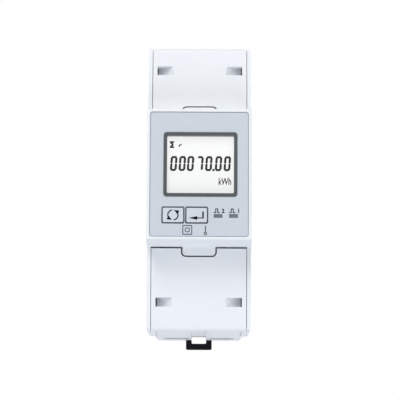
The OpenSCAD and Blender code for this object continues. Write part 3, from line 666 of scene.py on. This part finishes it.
@dataclass(frozen=True)
class BacklitWithPaintedShade(Finish):
    """The display's pale face, lit from behind: the glow is partly backlight and partly painted
    light that fills the bezel's shade, with painted shade darker towards its lower edge.

    Attributes:
        high: Screen colour of the glow at the upper edge, lighter there as painted light.
        low: The same at the lower edge, darker there as painted shade.
        painted_shade_span: Lower and upper edge of the painted shade's grade, in millimetres.
        glow: Strength of the glow, partly light from behind and partly painted light.
    """

    high: Triple = (255, 255, 254)
    low: Triple = (240, 241, 241)
    painted_shade_span: Span = (-8.0, 15.0)
    glow: float = 0.72

    def shade(self, graph: Graph, surface: Node) -> None:
        """Grade the glow from the lower to the upper edge, as painted shade."""
        height = graph.add("SeparateXYZ", {0: graph.place()}).outputs["Z"]
        # Painted shade: the glow is darker at the lower edge and lighter at the upper one
        rise = graph.mapped(height, start=(self.painted_shade_span[0] * MM, self.painted_shade_span[1] * MM))
        glow = graph.mixed(rise, linear(self.low), linear(self.high))
        graph.link(glow, surface.inputs["Emission Color"])
        # Glow partly from the backlight and partly painted light, strong enough to fill the bezel's
        # shade
        surface.inputs["Emission Strength"].default_value = self.glow
        self.tone(graph, surface, change=0.02, scale=200.0)


@dataclass(frozen=True)
class SolderMask(Finish):
    """Green circuit board with the tracks showing through its lacquer."""

    def shade(self, graph: Graph, surface: Node) -> None:
        """Add the tracks as a lighter tone and a faint relief."""
        patch_gain, track_gain, track_lift = 1.08, 1.35, 8
        patch = tuple(part * patch_gain for part in self.colour)
        track = tuple(min(FULL, part * track_gain + track_lift) for part in self.colour)
        tracks = graph.add("TexBrick", {
            "Vector": graph.place(), "Scale": 260.0, "Mortar Size": 0.09, "Mortar Smooth": 0.2,
            "Color1": linear(self.colour), "Color2": linear(patch), "Mortar": linear(track)})
        graph.link(tracks.outputs["Color"], surface.inputs["Base Color"])
        self.relief(graph, surface, tracks.outputs["Fac"], depth=0.00003, strength=0.3)


# Finishes of the housing, the print, the display and the parts inside
WHITE = Moulding("white_housing", (241, 243, 245), 0.42, shine=0.3)
WHITE_COVER = Moulding("white_cover", (240, 242, 245), 0.42, shine=0.3)
LATCH_BLACK = Moulding("black_latch", (12, 15, 22), 0.55, depth=0.000014, change=0.1, shine=0.12)
LABEL_GREY = Film("grey_label", (206, 212, 219), 0.45)
KEY_GREY = Moulding("grey_key", (211, 216, 223), 0.5, depth=0.000006)
INK = Film("dark_ink", (24, 30, 40), 0.5, shine=0.1)
SOFT_INK = Film("grey_ink", (84, 92, 106), 0.5, shine=0.2)
# Painted shade: a grey line round the label's edge, where the rim of its seat shades it
PAINTED_EDGE_SHADE = Film("painted_edge_shade", (150, 158, 170), 0.5)
SLATE = Moulding("slate_bezel", (75, 79, 82), 0.4, depth=0.000006, change=0.05)
WINDOW = Clear("clear_window", (250, 251, 252), 0.03, cover=0.02)
# Display face: glow partly painted light that fills the bezel's shade, graded darker downwards as
# painted shade
DISPLAY_PAINTED_GLOW = BacklitWithPaintedShade("display_painted_glow", (138, 138, 136), 0.3)
SEGMENT = Film("display_segment", (6, 6, 8), 0.5, shine=0.08)
# The light guide takes the same painted shade grade, darker downwards
GUIDE = BacklitWithPaintedShade("light_guide", (240, 240, 238), 0.3, glow=0.05)
LENS = Clear("lamp_lens", (126, 132, 142), 0.25, cover=0.8)
PIPE = Clear("lamp_pipe", (150, 154, 162), 0.2, cover=0.7)
LAMP = Film("lamp_body", (226, 222, 208), 0.3)
IVORY = Moulding("ivory_plunger", (222, 216, 196), 0.5)
CHIP = Moulding("black_part", (30, 30, 32), 0.55, texture=0.0002)
MASK = SolderMask("green_board", (20, 92, 52), 0.3)
PLATED = Metal("zinc_plated_screw", (196, 197, 194), 0.28, Way.ACROSS)
NICKEL = Metal("nickel_cage", (190, 188, 180), 0.34, Way.DEEP)
GOLD = Metal("gold_pin", (214, 178, 96), 0.25, Way.DEEP)
TIN = Metal("tin_pin", (200, 199, 194), 0.35, Way.DEEP)
COPPER = Metal("copper_bar", (196, 120, 84), 0.32, Way.UP)
ALLOY = Metal("shunt_alloy", (128, 112, 102), 0.45, Way.UP)
FILM_BOX = Moulding("capacitor_box", (214, 176, 60), 0.45)
SLEEVE = Film("capacitor_sleeve", (38, 48, 96), 0.25)
DIPPED = Moulding("dipped_disc", (34, 78, 148), 0.3, texture=0.0012, depth=0.00005)
TERMINAL_GREEN = Moulding("terminal_green", (52, 128, 82), 0.45)

# Finishes of the label's marks that aren't dark ink: the double square's grey ink, and the painted
# shade line round the label's edge
LABEL_INKS_AND_SHADE = {
    "double_square_outer": SOFT_INK, "double_square_inner": SOFT_INK, "label_painted_shade_line": PAINTED_EDGE_SHADE,
}


@dataclass
class Solids:
    """The solids that keep their own shape and take a finish.

    Attributes:
        finishes: For each finish, the nodes that take it.
    """

    finishes: tuple[tuple[Finish, tuple[str, ...]], ...] = (
        (WHITE, ("rear_shell", "front_shell")),
        (WHITE_COVER, ("upper_cover", "lower_cover")),
        (LATCH_BLACK, ("rail_latch",)),
        (LABEL_GREY, ("front_label",)),
        (SLATE, ("display_bezel",)),
        (WINDOW, ("display_window",)),
        (DISPLAY_PAINTED_GLOW, ("display_glass",)),
        (GUIDE, ("light_guide",)),
        (KEY_GREY, ("scroll_key", "enter_key")),
        (IVORY, ("scroll_plunger", "enter_plunger")),
        (PIPE, ("left_light_pipe", "right_light_pipe")),
        (LAMP, ("left_lamp", "right_lamp")),
        (MASK, ("display_board", "power_board")),
        (CHIP, ("scroll_switch", "enter_switch", "controller_chip", "link_header", "link_socket",
                "metering_chip", "bus_chip", "pulse_couplers")),
        (PLATED, ("display_board_screws", "power_board_screws", "screw_line_in", "screw_neutral_in",
                  "screw_line_out", "screw_neutral_out", "signal_screws")),
        (NICKEL, ("cage_line_in", "cage_neutral_in", "cage_line_out", "cage_neutral_out")),
        (GOLD, ("link_pins",)),
        (TIN, ("sense_pins",)),
        (COPPER, ("line_bar_in", "line_bar_out", "neutral_bar")),
        (ALLOY, ("current_shunt",)),
        (FILM_BOX, ("dropper_capacitor",)),
        (SLEEVE, ("smoothing_capacitor",)),
        (DIPPED, ("surge_disc",)),
        (TERMINAL_GREEN, ("signal_terminals",)),
    )

    def dress(self) -> None:
        """Give each solid its finish."""
        for finish, names in self.finishes:
            for name in names:
                finish.dress(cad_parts[name])
            LOG.info("%s on %s", finish.name, ", ".join(names))


@dataclass
class Digits:
    """The display's number: dark bars on the pale face.

    Attributes:
        figures: The figures.
        lefts: Left side of each figure, in millimetres.
        width: Width of a figure.
        low: Lower edge of the figures.
        high: Upper edge of the figures.
        stroke: Width of a bar.
        slit: Gap between the ends of two bars.
        lean: Lean of the figures to the right, as a slope.
        point: Place of the decimal point, right of the middle.
        y: Front and back of the bars.
    """

    figures: str = "0007000"
    lefts: tuple[float, ...] = (-10.16, -7.20, -4.36, -1.14, 1.92, 5.26, 8.28)
    width: float = 2.34
    low: float = 1.3
    high: float = 6.55
    stroke: float = 0.78
    slit: float = 0.07
    lean: float = 0.07
    point: float = 4.86
    y: Span = field(default_factory=lambda: sheet_on("display_glass"))

    SHAPES = {
        "0": tuple(Bar),
        "7": (Bar.TOP, Bar.UPPER_RIGHT, Bar.LOWER_RIGHT),
    }

    def bar(self, length: float) -> Obj:
        """A level bar with pointed ends, about the origin.

        Args:
            length: Its length, in millimetres.

        Returns:
            The bar.
        """
        half = self.stroke / 2
        tip = half * 0.7
        return slab("bar", (-length / 2, length / 2), self.y, (-half, half), tip, steps=1)

    def place(self, bar: Bar) -> tuple[float, float, bool]:
        """Where a bar lies in a figure.

        Args:
            bar: The bar.

        Returns:
            Its middle from the figure's lower left corner, and whether it stands upright.
        """
        half = self.stroke / 2
        tall = self.high - self.low
        right = self.width - half
        quarter = (tall - self.stroke) / 4 + half
        return {
            Bar.TOP: (self.width / 2, tall - half, False),
            Bar.BOTTOM: (self.width / 2, half, False),
            Bar.UPPER_RIGHT: (right, tall - quarter, True),
            Bar.UPPER_LEFT: (half, tall - quarter, True),
            Bar.LOWER_RIGHT: (right, quarter, True),
            Bar.LOWER_LEFT: (half, quarter, True),
        }[bar]

    def build(self) -> Obj:
        """Model the two bars, copy them to every place and lean the figures.

        Returns:
            The number as one piece.
        """
        tall = self.high - self.low
        level_reach, upright_reach = self.stroke * 0.4, self.stroke * 0.16
        level = self.bar(self.width - self.stroke - 2 * self.slit + level_reach)
        upright = self.bar((tall - self.stroke) / 2 - 2 * self.slit + upright_reach)
        pieces = []
        for figure, left in zip(self.figures, self.lefts):
            for bar in self.SHAPES[figure]:
                x, z, stands = self.place(bar)
                turn = Matrix.Rotation(math.pi / 2 if stands else 0.0, 4, "Y")
                there = Matrix.Translation(metres(left + x, 0, z)) @ turn
                pieces.append(twin(upright if stands else level, there))
        half = self.stroke / 2
        rounding = half * 0.4
        pieces.append(slab("point", (self.point - half, self.point + half), self.y,
                           (0, self.stroke), rounding))
        for pattern in (level, upright):
            bpy.data.objects.remove(pattern)
        number = joined(pieces, "display_number")
        leaning = Matrix.Translation(metres(0, 0, self.low))
        leaning[0][2] = self.lean
        number.data.transform(leaning)
        return tidy(number)


@dataclass
class DisplayMarks:
    """The small marks round the display's number.

    Attributes:
        unit: The unit under the number.
        unit_place: Middle of the unit, in millimetres.
        unit_height: Height of the unit's letters.
        total: Left, right, bottom and top of the total's sign.
        tick: Ends of the tick's two strokes.
        y: Front and back of the marks.
    """

    unit: str = "kWh"
    unit_place: Span = (8.82, -2.27)
    unit_height: float = 2.4
    total: Quad = (-10.2, -8.65, 9.6, 11.45)
    tick: tuple[tuple[Span, Span], ...] = (
        ((-7.0, 9.75), (-6.7, 10.5)),
        ((-6.6, 10.6), (-6.1, 10.55)),
    )
    y: Span = field(default_factory=lambda: sheet_on("display_glass"))

    def slanted(self, start: Span, end: Span, stroke: float) -> Obj:
        """A straight bar between two points in the display's plane.

        Args:
            start: One end, in millimetres.
            end: The other end.
            stroke: Width of the bar.

        Returns:
            The bar.
        """
        run = Vector((end[0] - start[0], end[1] - start[1]))
        rounding = stroke * 0.3
        bar = slab("stroke", (-run.length / 2, run.length / 2), self.y, (-stroke / 2, stroke / 2),
                   rounding)
        middle = metres((start[0] + end[0]) / 2, 0, (start[1] + end[1]) / 2)
        turn = Matrix.Rotation(-math.atan2(run.y, run.x), 4, "Y")
        bar.data.transform(Matrix.Translation(middle) @ turn)
        return bar

    def build(self) -> list[Obj]:
        """Model the total's sign, the small tick and the unit.

        Returns:
            The three marks.
        """
        left, right, low, high = self.total
        level, arm, fine = 0.55, 0.62, 0.5
        start, inset, meeting = left + 0.2, 0.1, (right - 0.35, (low + high) / 2)
        sign = joined([
            self.slanted((left, high), (right, high), level),
            self.slanted((left, low), (right, low), level),
            self.slanted((start, high - inset), meeting, arm),
            self.slanted(meeting, (start, low + inset), arm),
        ], "display_total_sign")
        tick = joined([self.slanted(*ends, fine) for ends in self.tick], "display_tick")
        unit = lettering("display_unit", self.unit, *self.unit_place, self.unit_height, self.y,
                         squeeze=0.68, lean=0.06)
        return [sign, tick, unit]


@dataclass
class KeyIcons:
    """The signs printed on the two keys.

    Attributes:
        scroll: Middle of the left key, in millimetres.
        enter: Middle of the right key.
        radius: Radius of the scroll sign's arrows.
        line: Width of the printed lines.
        starts: Where each arc starts, in degrees from the right, turning upwards.
        sweep: How far an arc goes, in degrees.
        y: Front and back of the print.
    """

    scroll: Span = field(default_factory=lambda: middle_of("scroll_key"))
    enter: Span = field(default_factory=lambda: middle_of("enter_key"))
    radius: float = 1.75
    line: float = 0.4
    starts: Span = (-78, 102)
    sweep: float = 122
    y: Span = field(default_factory=lambda: sheet_on("scroll_key"))

    def arc(self, start: float, end: float) -> Obj:
        """A flat arc of the scroll sign.

        Args:
            start: First angle, in degrees from the right, turning upwards.
            end: Last angle.

        Returns:
            The arc.
        """
        deselect()
        bpy.ops.mesh.primitive_circle_add(
            vertices=72, radius=(self.radius + self.line / 2) * MM, fill_type="NGON",
            location=metres(self.scroll[0], self.y[0], self.scroll[1]),
            rotation=(math.pi / 2, 0, 0))
        obj = settle(bpy.context.active_object, "arc")
        bpy.ops.object.mode_set(mode="EDIT")
        bpy.ops.mesh.select_mode(type="FACE")
        bpy.ops.mesh.select_all(action="SELECT")
        bpy.ops.mesh.inset(thickness=self.line * MM, depth=0)
        bpy.ops.mesh.delete(type="FACE")

        def outside(face: bmesh.types.BMFace) -> bool:
            """Whether a face lies outside the arc."""
            out = face.calc_center_median() / MM
            angle = math.degrees(math.atan2(out.z - self.scroll[1], out.x - self.scroll[0])) % 360
            return not (start <= angle <= end or start <= angle - 360 <= end)

        pick(obj, "FACE", outside)
        bpy.ops.mesh.delete(type="FACE")
        bpy.ops.mesh.select_all(action="SELECT")
        back = (0, (self.y[1] - self.y[0]) * MM, 0)
        bpy.ops.mesh.extrude_region_move(TRANSFORM_OT_translate={"value": back})
        bpy.ops.object.mode_set(mode="OBJECT")
        return tidy(obj)

    def head(self, tip: Span, angle: float, size: Span) -> Obj:
        """A three-cornered arrow head.

        Args:
            tip: The head's tip, in millimetres.
            angle: Where it points, in degrees from the right, turning upwards.
            size: Length of the head and width of its foot.

        Returns:
            The arrow head.
        """
        length, width = size
        deselect()
        bpy.ops.mesh.primitive_cylinder_add(
            vertices=3, radius=MM, depth=(self.y[1] - self.y[0]) * MM, rotation=(math.pi / 2, 0, 0))
        obj = settle(bpy.context.active_object, "head")
        # The primitive's first corner lies above the other two once it stands in the front plane
        top = max(v.co.z for v in obj.data.vertices)
        low = min(v.co.z for v in obj.data.vertices)
        side = max(v.co.x for v in obj.data.vertices)
        scale = Matrix.Diagonal((width * MM / 2 / side, 1, length * MM / (top - low), 1))
        shape = scale @ Matrix.Translation((0, 0, -top))
        turn = Matrix.Rotation(math.radians(90 - angle), 4, "Y")
        there = Matrix.Translation(metres(tip[0], sum(self.y) / 2, tip[1]))
        obj.data.transform(there @ turn @ shape)
        return obj

    def scroll_sign(self) -> Obj:
        """Two arcs that chase each other, each with a head.

        Returns:
            The sign.
        """
        arcs, heads = [], []
        # Degrees from an arc's start to its tip and from there to the head's direction
        to_tip, inwards, size = 156, 72, (1.7, 1.45)
        for start in self.starts:
            arcs.append(self.arc(start, start + self.sweep))
            tip = math.radians(start + to_tip)
            place = (self.scroll[0] + self.radius * math.cos(tip),
                     self.scroll[1] + self.radius * math.sin(tip))
            heads.append(self.head(place, start + to_tip + inwards, size))
        return joined(arcs + heads, "scroll_sign")

    def enter_sign(self) -> Obj:
        """A stem that goes down and a run that ends in a long head.

        Returns:
            The sign.
        """
        x, z = self.enter
        left, right, low, top = x - 2.5, x + 2.17, z - 1.0, z + 1.2
        tip, run_start, size, pointing = left - 0.2, left + 1.2, (2.9, 1.3), 180
        half = self.line / 2
        stem, run, rounding = 1.4 * half, half * 0.8, half * 0.4
        return joined([
            slab("stem", (right - stem, right + stem), self.y, (low - half, top), rounding),
            slab("run", (run_start, right), self.y, (low - run, low + run), rounding),
            self.head((tip, low), pointing, size),
        ], "enter_sign")

    def build(self) -> dict[str, Obj]:
        """Model both signs.

        Returns:
            For each body, its sign.
        """
        return {"scroll_button": self.scroll_sign(), "enter_button": self.enter_sign()}


@dataclass
class LabelPrint:
    """The label's marks: the printed key outlines and signs, and a painted shade line round its
    edge.

    Attributes:
        keys: The keys' solids.
        window: Width and height of a key window, in millimetres.
        lamps: The lamps' light pipes.
        numbers: The lamps' numbers.
        pulse_start: Where a pulse sign starts, from its lamp's middle.
        number_place: Middle of a lamp's number, from its lamp's middle.
        number_height: Height of the numbers.
        square: Left, right, bottom and top of the double square.
        inner: How far the inner square lies inside the outer one.
        flow: Place across, bottom and top of the flow sign.
        corner: Radius of the label's corners.
        y: Front and back of the print.
    """

    keys: tuple[str, ...] = ("scroll_key", "enter_key")
    window: Span = (7.6, 5.6)
    lamps: tuple[str, ...] = ("left_light_pipe", "right_light_pipe")
    numbers: tuple[str, ...] = ("2", "1")
    pulse_start: Span = (-1.5, 1.15)
    number_place: Span = (1.75, 1.75)
    number_height: float = 1.5
    square: Quad = (-5.67, -2.28, -21.02, -17.67)
    inner: float = 0.85
    flow: Triple = (2.2, -21.1, -17.9)
    corner: float = 1.0
    y: Span = field(default_factory=lambda: sheet_on("front_label"))

    def pulse(self, x: float, z: float, name: str) -> Obj:
        """A square pulse as one line: low, up, high, down, low.

        Args:
            x: Its left end, in millimetres.
            z: Middle of its low runs.
            name: The piece's name.

        Returns:
            The pulse.
        """
        line, step, rise = 0.3, 0.7, 1.25
        half = line / 2
        strokes = [
            ((x, x + step + half), (z - half, z + half)),
            ((x + step - half, x + step + half), (z, z + rise)),
            ((x + step - half, x + 2 * step + half), (z + rise - half, z + rise + half)),
            ((x + 2 * step - half, x + 2 * step + half), (z, z + rise)),
            ((x + 2 * step - half, x + 3 * step), (z - half, z + half)),
        ]
        rounding = half * 0.3
        bars = [slab("stroke", across, self.y, up, rounding) for across, up in strokes]
        return joined(bars, name)

    def flow_sign(self) -> Obj:
        """A thin upright line with a small ring at its lower end.

        Returns:
            The sign.
        """
        x, low, high = self.flow
        half, ring, line = 0.15, 0.55, 0.26
        rod_rounding, ring_rounding = half * 0.5, ring * 0.96
        rod = slab("rod", (x - half, x + half), self.y, (low + 2 * ring, high), rod_rounding)
        eye = outline_slab("eye", (x - ring, x + ring), self.y, (low, low + 2 * ring), line,
                           ring_rounding)
        return joined([rod, eye], "flow_sign")

    def build(self) -> list[Obj]:
        """Model the printed marks.

        Returns:
            The marks, one piece each.
        """
        pieces = [self.flow_sign()]
        for number, lamp in zip(self.numbers, self.lamps):
            x, z = middle_of(lamp)
            pieces.append(self.pulse(x + self.pulse_start[0], z + self.pulse_start[1],
                                     f"pulse_sign_{number}"))
            pieces.append(lettering(f"pulse_number_{number}", number, x + self.number_place[0],
                                    z + self.number_place[1], self.number_height, self.y,
                                    squeeze=0.9, weight=0.04))
        # Key outline line and corner, and the width of the painted shade line round the label's
        # edge
        key_line, key_corner, painted_shade_width = 0.14, 0.55, 0.22
        wide, high = (side / 2 + key_line for side in self.window)
        for key in self.keys:
            x, z = middle_of(key)
            pieces.append(outline_slab(f"{key}_outline", (x - wide, x + wide), self.y,
                                       (z - high, z + high), key_line, key_corner))
        left, right, low, high = self.square
        for name, inset, line, corner in (("outer", 0.0, 0.34, 0.3),
                                          ("inner", self.inner, 0.32, 0.5)):
            pieces.append(outline_slab(f"double_square_{name}", (left + inset, right - inset),
                                       self.y, (low + inset, high - inset), line, corner))
        # Painted shade: a grey line all round the label's edge, standing in for the shade of its
        # seat's rim
        (left, _, low), (right, _, high) = (tuple(corner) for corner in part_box("front_label"))
        pieces.append(outline_slab("label_painted_shade_line", (left / MM, right / MM), self.y,
                                   (low / MM, high / MM), painted_shade_width, self.corner))
        return pieces


@dataclass
class LampLens:
    """The ribbed face of a pulse lamp's window.

    Attributes:
        width: Width, in millimetres.
        height: Height.
        ribs: Number of ribs.
        y: Front and back.
    """

    width: float = 2.86
    height: float = 1.16
    ribs: int = 7
    y: Span = field(default_factory=lambda: sheet_on("left_light_pipe", thickness=0.09))

    def build(self, name: str, x: float, z: float) -> Obj:
        """Model a lens: a slab cut into strips whose middles stand out.

        Args:
            name: The piece's name.
            x: Middle, in millimetres.
            z: Middle.

        Returns:
            The lens.
        """
        half = self.width / 2
        rise = self.height / 2
        obj = slab(name, (x - half, x + half), self.y, (z - rise, z + rise))
        pitch = self.width / self.ribs
        bpy.ops.object.mode_set(mode="EDIT")
        for i in range(1, 2 * self.ribs):
            bpy.ops.mesh.select_all(action="SELECT")
            cut = metres(x - half + i * pitch / 2, 0, z)
            bpy.ops.mesh.bisect(plane_co=cut, plane_no=(1, 0, 0))
        share, near = 0.75, 0.1
        groove = (self.y[1] - self.y[0]) * share * MM

        def in_groove(vert: bmesh.types.BMVert) -> bool:
            """Whether a point lies on the front, at the foot of a rib."""
            along = (vert.co.x / MM - x + half) / pitch
            return vert.co.y < self.y[0] * MM + TOUCH and abs(along - round(along)) < near

        pick(obj, "VERT", in_groove)
        bpy.ops.transform.translate(value=(0, groove, 0))
        bpy.ops.object.mode_set(mode="OBJECT")
        return tidy(obj)


@dataclass
class Softbox:
    """A large square light.

    Attributes:
        name: The light's name.
        place: Where it hangs, in metres.
        power: Its power, in watts.
        tint: Screen colour of its light.
        side: Its side, in metres.
    """

    name: str
    place: Triple
    power: float
    tint: Triple = (255, 255, 255)
    side: float = 0.7

    def build(self) -> None:
        """Add the light, turned to the meter."""
        data = bpy.data.lights.new(self.name, "AREA")
        data.shape = "SQUARE"
        data.size = self.side
        data.energy = self.power
        data.color = linear(self.tint)[:3]
        lamp = bpy.data.objects.new(self.name, data)
        lamp.location = self.place
        lamp.rotation_euler = (-Vector(self.place)).to_track_quat("-Z", "Y").to_euler()
        lamp.visible_camera = False
        bpy.context.collection.objects.link(lamp)


@dataclass
class Studio:
    """Soft light, a pale floor far below, and a white surround.

    Attributes:
        level: Strength of the surround on the meter.
        tint: Screen colour of the surround on the meter.
        boxes: The large lights: above, in front, low in front, at both sides and behind.
        floor_z: Height of the floor, in metres.
        floor_colour: Screen colour of the floor under the meter.
        fade: Where the floor starts and ends to fade, in metres from its middle.
    """

    level: float = 0.4
    tint: Triple = (248, 251, 255)
    boxes: tuple[Softbox, ...] = (
        Softbox("upper_softbox", (-0.4, -1.1, 1.35), 13.5),
        Softbox("front_softbox", (-0.2, -1.5, 0.9), 4.5),
        Softbox("lower_softbox", (0.15, -0.75, -0.95), 7.0, (247, 250, 255)),
        Softbox("left_softbox", (-1.7, 0.35, 0.4), 8.0),
        Softbox("right_softbox", (1.7, 0.35, 0.4), 10.0),
        Softbox("rear_softbox", (0.2, 1.8, 0.5), 11.0),
    )
    floor_z: float = -1.1
    floor_colour: Triple = (194, 200, 208)
    fade: Span = (0.6, 2.2)

    def surround(self) -> None:
        """Set the world: white to the eye, to gloss and to glass, softer on the meter."""
        world = bpy.data.worlds.new("surround")
        bpy.context.scene.world = world
        world.use_nodes = True
        graph = Graph(world.node_tree)
        path = graph.add("LightPath").outputs
        seen = graph.larger(path["Is Camera Ray"], path["Is Glossy Ray"])
        either = graph.larger(seen, path["Is Transmission Ray"])
        strength = graph.mapped(either, (self.level, 1.0))
        hue = graph.mixed(either, linear(self.tint), (1, 1, 1, 1))
        back = graph.add("Background", {"Color": hue, "Strength": strength})
        graph.add("OutputWorld", {"Surface": back.outputs[0]})

    def floor(self) -> None:
        """Add the floor, which fades into the white surround."""
        deselect()
        bpy.ops.mesh.primitive_circle_add(vertices=96, radius=4, fill_type="NGON",
                                          location=(0, 0, self.floor_z))
        floor = settle(bpy.context.active_object, "floor")
        paint = bpy.data.materials.new("pale_floor")
        paint.use_nodes = True
        graph = Graph(paint.node_tree)
        away = graph.add("VectorMath", {0: graph.place()}, operation="LENGTH").outputs["Value"]
        fade = graph.mapped(away, start=self.fade)
        path = graph.add("LightPath").outputs
        eye = graph.larger(path["Is Camera Ray"], path["Is Glossy Ray"])
        white = graph.add("Math", {0: fade, 1: eye}, operation="MULTIPLY")
        matt = graph.add("BsdfPrincipled", {"Base Color": linear(self.floor_colour),
                                            "Roughness": 0.8})
        glow = graph.add("Emission", {"Color": (1, 1, 1, 1), "Strength": 1.0})
        mix = graph.add("MixShader", {0: white.outputs[0], 1: matt.outputs[0], 2: glow.outputs[0]})
        graph.add("OutputMaterial", {"Surface": mix.outputs[0]})
        floor.data.materials.append(paint)

    def build(self) -> None:
        """Set up the surround, the lights and the floor."""
        self.surround()
        for box in self.boxes:
            box.build()
        self.floor()


@dataclass
class View:
    """The camera, from below the meter's middle and far off.

    Attributes:
        place: Where the camera stands, in millimetres.
        pitch: How far it looks up, in degrees.
        yaw: How far it looks to the right.
        roll: How far it is turned clockwise.
        focal: Focal length in picture widths.
        sensor: Width of the sensor, in millimetres.
    """

    place: Triple = (1.759, -608.2, -92.63)
    pitch: float = 8.64
    yaw: float = -0.151
    roll: float = -0.305
    focal: float = 1629.2 / 400
    sensor: float = 36.0

    def build(self) -> None:
        """Add the camera and make it the scene's own."""
        pitch, yaw, roll = (math.radians(angle) for angle in (self.pitch, self.yaw, self.roll))
        level = Vector((math.sin(yaw), math.cos(yaw), 0))
        ahead = math.cos(pitch) * level + math.sin(pitch) * Vector((0, 0, 1))
        side = Vector((math.cos(yaw), -math.sin(yaw), 0))
        rise = side.cross(ahead)
        right = math.cos(roll) * side - math.sin(roll) * rise
        upward = math.sin(roll) * side + math.cos(roll) * rise
        data = bpy.data.cameras.new("camera")
        data.sensor_width = self.sensor
        data.lens = self.focal * self.sensor
        data.clip_start = 0.01
        camera = bpy.data.objects.new("camera", data)
        camera.matrix_world = (Matrix.Translation(metres(*self.place))
                               @ Matrix((right, upward, -ahead)).transposed().to_4x4())
        bpy.context.collection.objects.link(camera)
        bpy.context.scene.camera = camera


def ride(piece: Obj, body: str, finish: Finish) -> None:
    """Give a new piece its finish and the body that carries it.

    Args:
        piece: The piece, in its place.
        body: The body it moves with.
        finish: Its finish.
    """
    finish.dress(piece)
    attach(piece, body)
    LOG.info("%s rides on %s with %d faces", piece.name, body, len(piece.data.polygons))


def main() -> None:
    """Build the view, the studio and every piece."""
    logging.basicConfig(level=logging.INFO, format="%(name)s: %(message)s")
    bpy.context.scene.view_settings.view_transform = "Standard"
    View().build()
    Studio().build()
    Solids().dress()

    ride(Digits().build(), "meter", SEGMENT)
    for mark in DisplayMarks().build():
        ride(mark, "meter", SEGMENT)
    for body, sign in KeyIcons().build().items():
        ride(sign, body, INK)
    for mark in LabelPrint().build():
        ride(mark, "meter", LABEL_INKS_AND_SHADE.get(mark.name, INK))
    for side in ("left", "right"):
        lens = LampLens().build(f"{side}_lamp_lens", *middle_of(f"{side}_light_pipe"))
        ride(lens, "meter", LENS)


if __name__ == "__main__":
    main()
